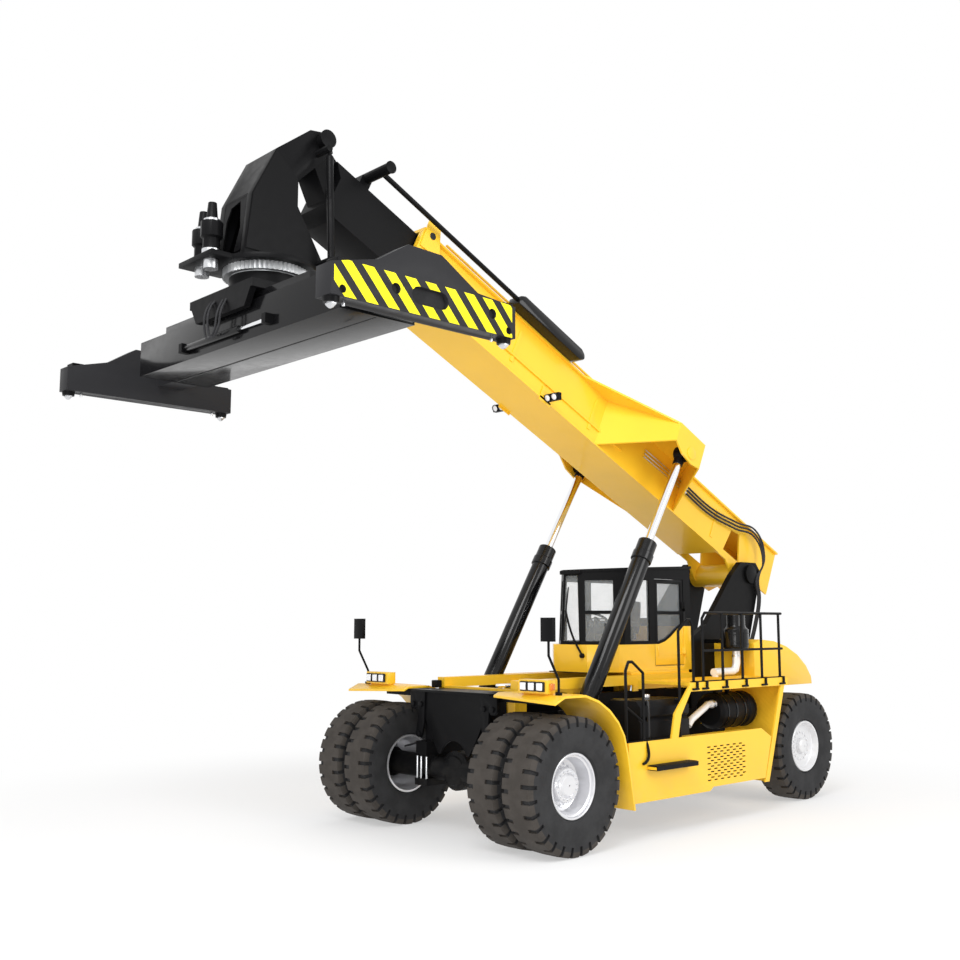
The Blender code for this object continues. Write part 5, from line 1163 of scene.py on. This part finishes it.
class STACKER_OT_head_trim(bpy.types.Operator):
    """Finish the head, the slewing ring and the spreader with their motors, hoses, bolts and plates"""

    bl_idname = "stacker.head_trim"
    bl_label = "Head and spreader trim"

    def execute(self, context):
        collar = [(-0.01, 0.09), (-0.01, 0.107), (0.06, 0.107), (0.06, 0.09)]
        ring = [(0.43, 0.05), (0.43, 0.095), (0.455, 0.095), (0.47, 0.07), (0.47, 0.05)]
        pinion = [(-0.11, 0.01), (-0.11, 0.085), (0.0, 0.085), (0.0, 0.01)]
        for i, (x, y) in enumerate(MOTORS):
            turned(f"motor_collar_{i}", collar, at(x, y, 7.02), UP, 32, "yoke", "steel")
            turned(f"motor_ring_{i}", ring, at(x, y, 6.99), UP, 32, "yoke", "steel")
            turned(f"pinion_{i}", pinion, at(x, y, 6.96), UP, 24, "yoke", "steel")
        self.yoke_plates()
        places = ring_of((0, SPREADER_Y, 7.021), (0, 1), 0.585, 28)
        bolts("slew_bolts", places, UP, 0.014, "yoke", "black")
        for name, side in SIDES:
            ends = [(side * x, -2.6366, HEAD_Z) for x in (0.455, 0.475)]
            bar(f"head_pin_cap_{name}", *ends, 0.115, "boom_inner", "black", 32)
            x = side * 0.54
            ends = (x, HEAD_Y + 0.015, 7.22), (x, HEAD_Y - 0.025, HEAD_Z - 0.26)
            bar(f"damper_sleeve_{name}", *ends, 0.043, "yoke")
            ends = [on_boom(side * x, 9.30, 0.95) for x in (0.775, 0.79)]
            finish(rod(f"cross_tube_cap_{name}", *ends, 0.08, 28), "boom_inner", "black")
        bends = ((0, -3.74, 6.58), (-0.02, -3.85, 6.42), (-0.02, -3.87, 6.16), (0.06, -3.87, 6.05))
        bends += ((0.18, -3.87, 6.10), (0.24, -3.85, 6.36), (0.24, -3.75, 6.56))
        for i, x in enumerate((-0.18, -0.10)):
            tube(f"saddle_hose_{i}", [(x + shift, y, z) for shift, y, z in bends], 0.014, "rotator")
        self.beam_details()
        dress("yoke", "yoke", "black", 0.005)
        dress("rotator", "rotator", "slew", 0.0)
        dress("spreader_beam", "spreader_beam", "black_gloss", 0.006)
        for name, side in SIDES:
            dress(f"spreader_end_{name}", f"spreader_end_{name}", "striped")
        for name, side in SIDES:
            for word in ("front", "rear"):
                node = f"twistlock_{name}_{word}"
                dress(node, node, "steel", 0.003)
        return {"FINISHED"}

    def yoke_plates(self):
        """Plates that close the head's front and cheeks, leaving its tall window."""
        low, high = 7.075, HEAD_Z - 0.90
        foot, knee = HEAD_Y - 1.045, HEAD_Y - 0.965
        half, mid, sole = 0.235, 0.10, 7.08

        def front(x, z):
            return at(x, foot + (knee - foot) * (z - low) / (high - low), z)

        window = [(-0.17, low + 0.02), (mid, low + 0.02), (0.17, low + 0.30)]
        window += [(mid, high - 0.06), (-mid, high - 0.10), (-0.17, low + 0.45)]
        left = [(half, low), (half, high), (mid, high), window[3], window[2], window[1], (mid, low)]
        right = [(-half, high), (-half, low), (-0.17, low), window[0], window[5], window[4], (-mid, high)]
        top = [(-mid, high), window[4], window[3], (mid, high)]
        for word, view in (("left", left), ("right", right), ("top", top)):
            plate(f"yoke_front_{word}", [front(x, z) for x, z in view], 0.02, "yoke")
        back = [at(x, HEAD_Y - 0.50, z) for x, z in rectangle(-half, half, sole, 8.02)]
        plate("yoke_inner_wall", back, 0.016, "yoke")
        view = [(-0.66, HEAD_Z - 0.30), (-0.965, HEAD_Z - 0.92), (-1.045, sole), (-0.05, sole)]
        view += [(-0.01, 7.17), (-0.352, 7.76), (-0.352, HEAD_Z - 0.585)]
        for name, side in SIDES:
            corners = [at(side * 0.3465, HEAD_Y + y, z) for y, z in view]
            plate(f"yoke_cheek_plate_{name}", corners, 0.012, "yoke")

    def beam_details(self):
        beam = "spreader_beam"
        ends = [(x, RAM_Y, RAM_Z) for x in (-0.95, 0.35, 0.33, 0.95)]
        bar("shift_barrel", *ends[:2], 0.042, beam, "black_gloss", 24)
        bar("shift_ram", *ends[2:], 0.022, beam, "chrome")
        for i, x in enumerate((-0.93, 0.93)):
            block(f"shift_lug_{i}", (x - 0.04, -3.79, 6.04), (x + 0.04, -3.678, 6.16), beam, edge=0.006)
        for i, (y0, y1) in enumerate(((-3.64, -3.20), (-3.16, -2.72))):
            for j, x in enumerate((-2.202, 2.202)):
                corners = (x, y0, 6.425), (x * 0.994, y1, 6.44)
                block(f"tunnel_frame_{i}_{j}", *corners, beam, edge=0.003)
        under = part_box(beam)[0].z
        corners = (-2.15, SPREADER_Y - 0.012, under - 0.004), (2.15, SPREADER_Y + 0.012, under + 0.004)
        block("beam_seam", *corners, beam, edge=0.002)
        collar = [(5.735, 0.045), (5.735, 0.075), (5.792, 0.082), (5.792, 0.045)]
        for name, side in SIDES:
            body = f"spreader_end_{name}"
            self.hole_backings(name, side, body)
            for word, s in (("front", -1), ("rear", 1)):
                place = at(side * LOCK_X, SPREADER_Y + s * LOCK_Y, 0)
                turned(f"lock_collar_{name}_{word}", collar, place, UP, 28, body)
                low = place + Vector((-0.09, -0.05 * s - 0.05, 6.10))
                housing = box(f"lock_housing_{name}_{word}", low, low + Vector((0.18, 0.16, 0.07)), 0.01)
                finish(housing, body, "black")
                ends = [place + Vector((side * -0.02, s * -0.16, z)) for z in (5.74, 5.80)]
                finish(rod(f"landing_pin_{name}_{word}", *ends, 0.016, 16), body, "steel")

    def hole_backings(self, name, side, body):
        """Dark bottoms for the lightening holes in an end beam's outer face."""
        holes = (("a", -0.43, 6.00, 0.053), ("b", 0.87, 6.00, 0.053))
        holes += (("c", -1.07, 5.86, 0.038), ("d", 1.11, 5.86, 0.038))
        for word, y, z, radius in holes:
            ends = [(side * x, SPREADER_Y + y, z) for x in (2.9805, 2.990)]
            bar(f"hole_backing_{name}_{word}", *ends, radius, body, "gasket", 24)
        outline, bulge = [], 0.088
        for centre, first in ((-0.14, 90), (0.16, 270)):
            for i in range(9):
                angle = math.radians(first + 22.5 * i)
                y = SPREADER_Y + centre + bulge * math.cos(angle)
                outline.append(at(side * 2.976, y, 5.99 + bulge * math.sin(angle)))
        plate(f"slot_backing_{name}", outline, 0.008, body, "gasket")


class STACKER_OT_paint(bpy.types.Operator):
    """Give the remaining CAD pieces their paint"""

    bl_idname = "stacker.paint"
    bl_label = "Paint"

    def execute(self, context):
        plans = {
            "yellow": ("skirt_left", "skirt_right", "cab_rails"),
            "yellow_plate": ("deck_left", "deck_right"),
            "black": ("chassis_frame", "boom_tower", "engine"),
        }
        for look, names in plans.items():
            for name in names:
                NODES[name].material_slots[0].material = LOOKS[look]
        return {"FINISHED"}


# Studio


class STACKER_OT_stage(bpy.types.Operator):
    """Set up the pale floor, the soft light and the camera"""

    bl_idname = "stacker.stage"
    bl_label = "Studio"

    def execute(self, context):
        scene = context.scene
        self.floor()
        self.world(scene)
        self.light("key", (7, -12, 16), 8.0, 1750)
        self.light("side", (16, 3, 9), 8.0, 900)
        self.light("low fill", (9, -14, 1.2), 7.0, 850)
        self.camera(scene)
        scene.view_settings.view_transform = "Standard"
        return {"FINISHED"}

    def floor(self):
        deselect()
        bpy.ops.mesh.primitive_plane_add(size=FLOOR_SIZE, location=(0, 0, 0))
        floor = bpy.context.object
        floor.name = "floor"
        look = Look("pale floor", (0.93, 0.93, 0.93), 0.9)
        near = look.node("ShaderNodeVectorMath", {"operation": "LENGTH"}, {0: look.place}, "Value")
        far = look.ramp(near, *FLOOR_FADE) * 0.55 + 0.45
        glow = look.node("ShaderNodeEmission", None, {"Color": (1, 1, 1, 1), "Strength": 1.0})
        output = look.tree.nodes["Material Output"]
        both = look.tree.nodes.new("ShaderNodeMixShader")
        look.put(both.inputs[0], far)
        look.tree.links.new(look.shader.outputs[0], both.inputs[1])
        look.tree.links.new(glow.socket, both.inputs[2])
        look.tree.links.new(both.outputs[0], output.inputs[0])
        floor.data.materials.append(look.material)

    def world(self, scene):
        world = bpy.data.worlds.new("studio")
        scene.world = world
        world.use_nodes = True
        tree = world.node_tree
        background = tree.nodes["Background"]
        background.inputs["Color"].default_value = (1, 1, 1, 1)
        rays = tree.nodes.new("ShaderNodeLightPath")
        seen = tree.nodes.new("ShaderNodeMath")
        seen.operation = "MAXIMUM"
        tree.links.new(rays.outputs["Is Camera Ray"], seen.inputs[0])
        tree.links.new(rays.outputs["Is Glossy Ray"], seen.inputs[1])
        strength = tree.nodes.new("ShaderNodeMapRange")
        strength.inputs["To Min"].default_value = SKY_SHARE
        strength.inputs["To Max"].default_value = 1.0
        tree.links.new(seen.outputs[0], strength.inputs["Value"])
        tree.links.new(strength.outputs[0], background.inputs["Strength"])

    def light(self, name, place, size, power):
        deselect()
        aim = (Vector(LIGHTS_AIM) - Vector(place)).to_track_quat("-Z", "Y").to_euler()
        bpy.ops.object.light_add(type="AREA", location=place, rotation=aim)
        made = bpy.context.object
        made.name = name
        made.data.size = size
        made.data.energy = power
        made.visible_camera = False

    def camera(self, scene):
        turn, rise = CAMERA_TURN, CAMERA_RISE
        back = Vector((math.sin(turn) * math.cos(rise), -math.cos(turn) * math.cos(rise), math.sin(rise)))
        right = Vector((math.cos(turn), math.sin(turn), 0))
        stand = Matrix((right, back.cross(right), back)).transposed().to_4x4()
        stand.translation = at(*CAMERA_PLACE)
        deselect()
        bpy.ops.object.camera_add()
        camera = bpy.context.object
        camera.matrix_world = stand
        camera.data.sensor_width = SENSOR_MM
        camera.data.lens = FOCAL_PX / PICTURE_PX * SENSOR_MM
        camera.data.shift_x = -SHIFT_PX / PICTURE_PX
        camera.data.shift_y = SHIFT_PX / PICTURE_PX
        camera.data.clip_end = 200
        scene.camera = camera


STEPS = (
    STACKER_OT_stage,
    STACKER_OT_tyres,
    STACKER_OT_rims,
    STACKER_OT_glass,
    STACKER_OT_cab_trim,
    STACKER_OT_seat,
    STACKER_OT_lamps,
    STACKER_OT_body_trim,
    STACKER_OT_boom_trim,
    STACKER_OT_head_trim,
    STACKER_OT_paint,
)


class STACKER_PT_panel(bpy.types.Panel):
    """Lists the dressing's settings and steps"""

    bl_idname = "STACKER_PT_panel"
    bl_label = "Reach stacker"
    bl_space_type = "VIEW_3D"
    bl_region_type = "UI"
    bl_category = "Stacker"

    def draw(self, context):
        settings = context.scene.stacker
        for key in ("paint", "dark", "gloss", "lugs", "groove", "hose_radius"):
            self.layout.prop(settings, key)
        for step in STEPS:
            self.layout.operator(step.bl_idname)


CLASSES = (StackerSettings,) + STEPS + (STACKER_PT_panel,)


def register():
    for kind in CLASSES:
        bpy.utils.register_class(kind)
    bpy.types.Scene.stacker = PointerProperty(type=StackerSettings)


def unregister():
    del bpy.types.Scene.stacker
    for kind in reversed(CLASSES):
        bpy.utils.unregister_class(kind)


def main():
    register()
    make_looks(settings_now())
    for step in STEPS:
        group, name = step.bl_idname.split(".")
        getattr(getattr(bpy.ops, group), name)()


if __name__ == "__main__":
    main()
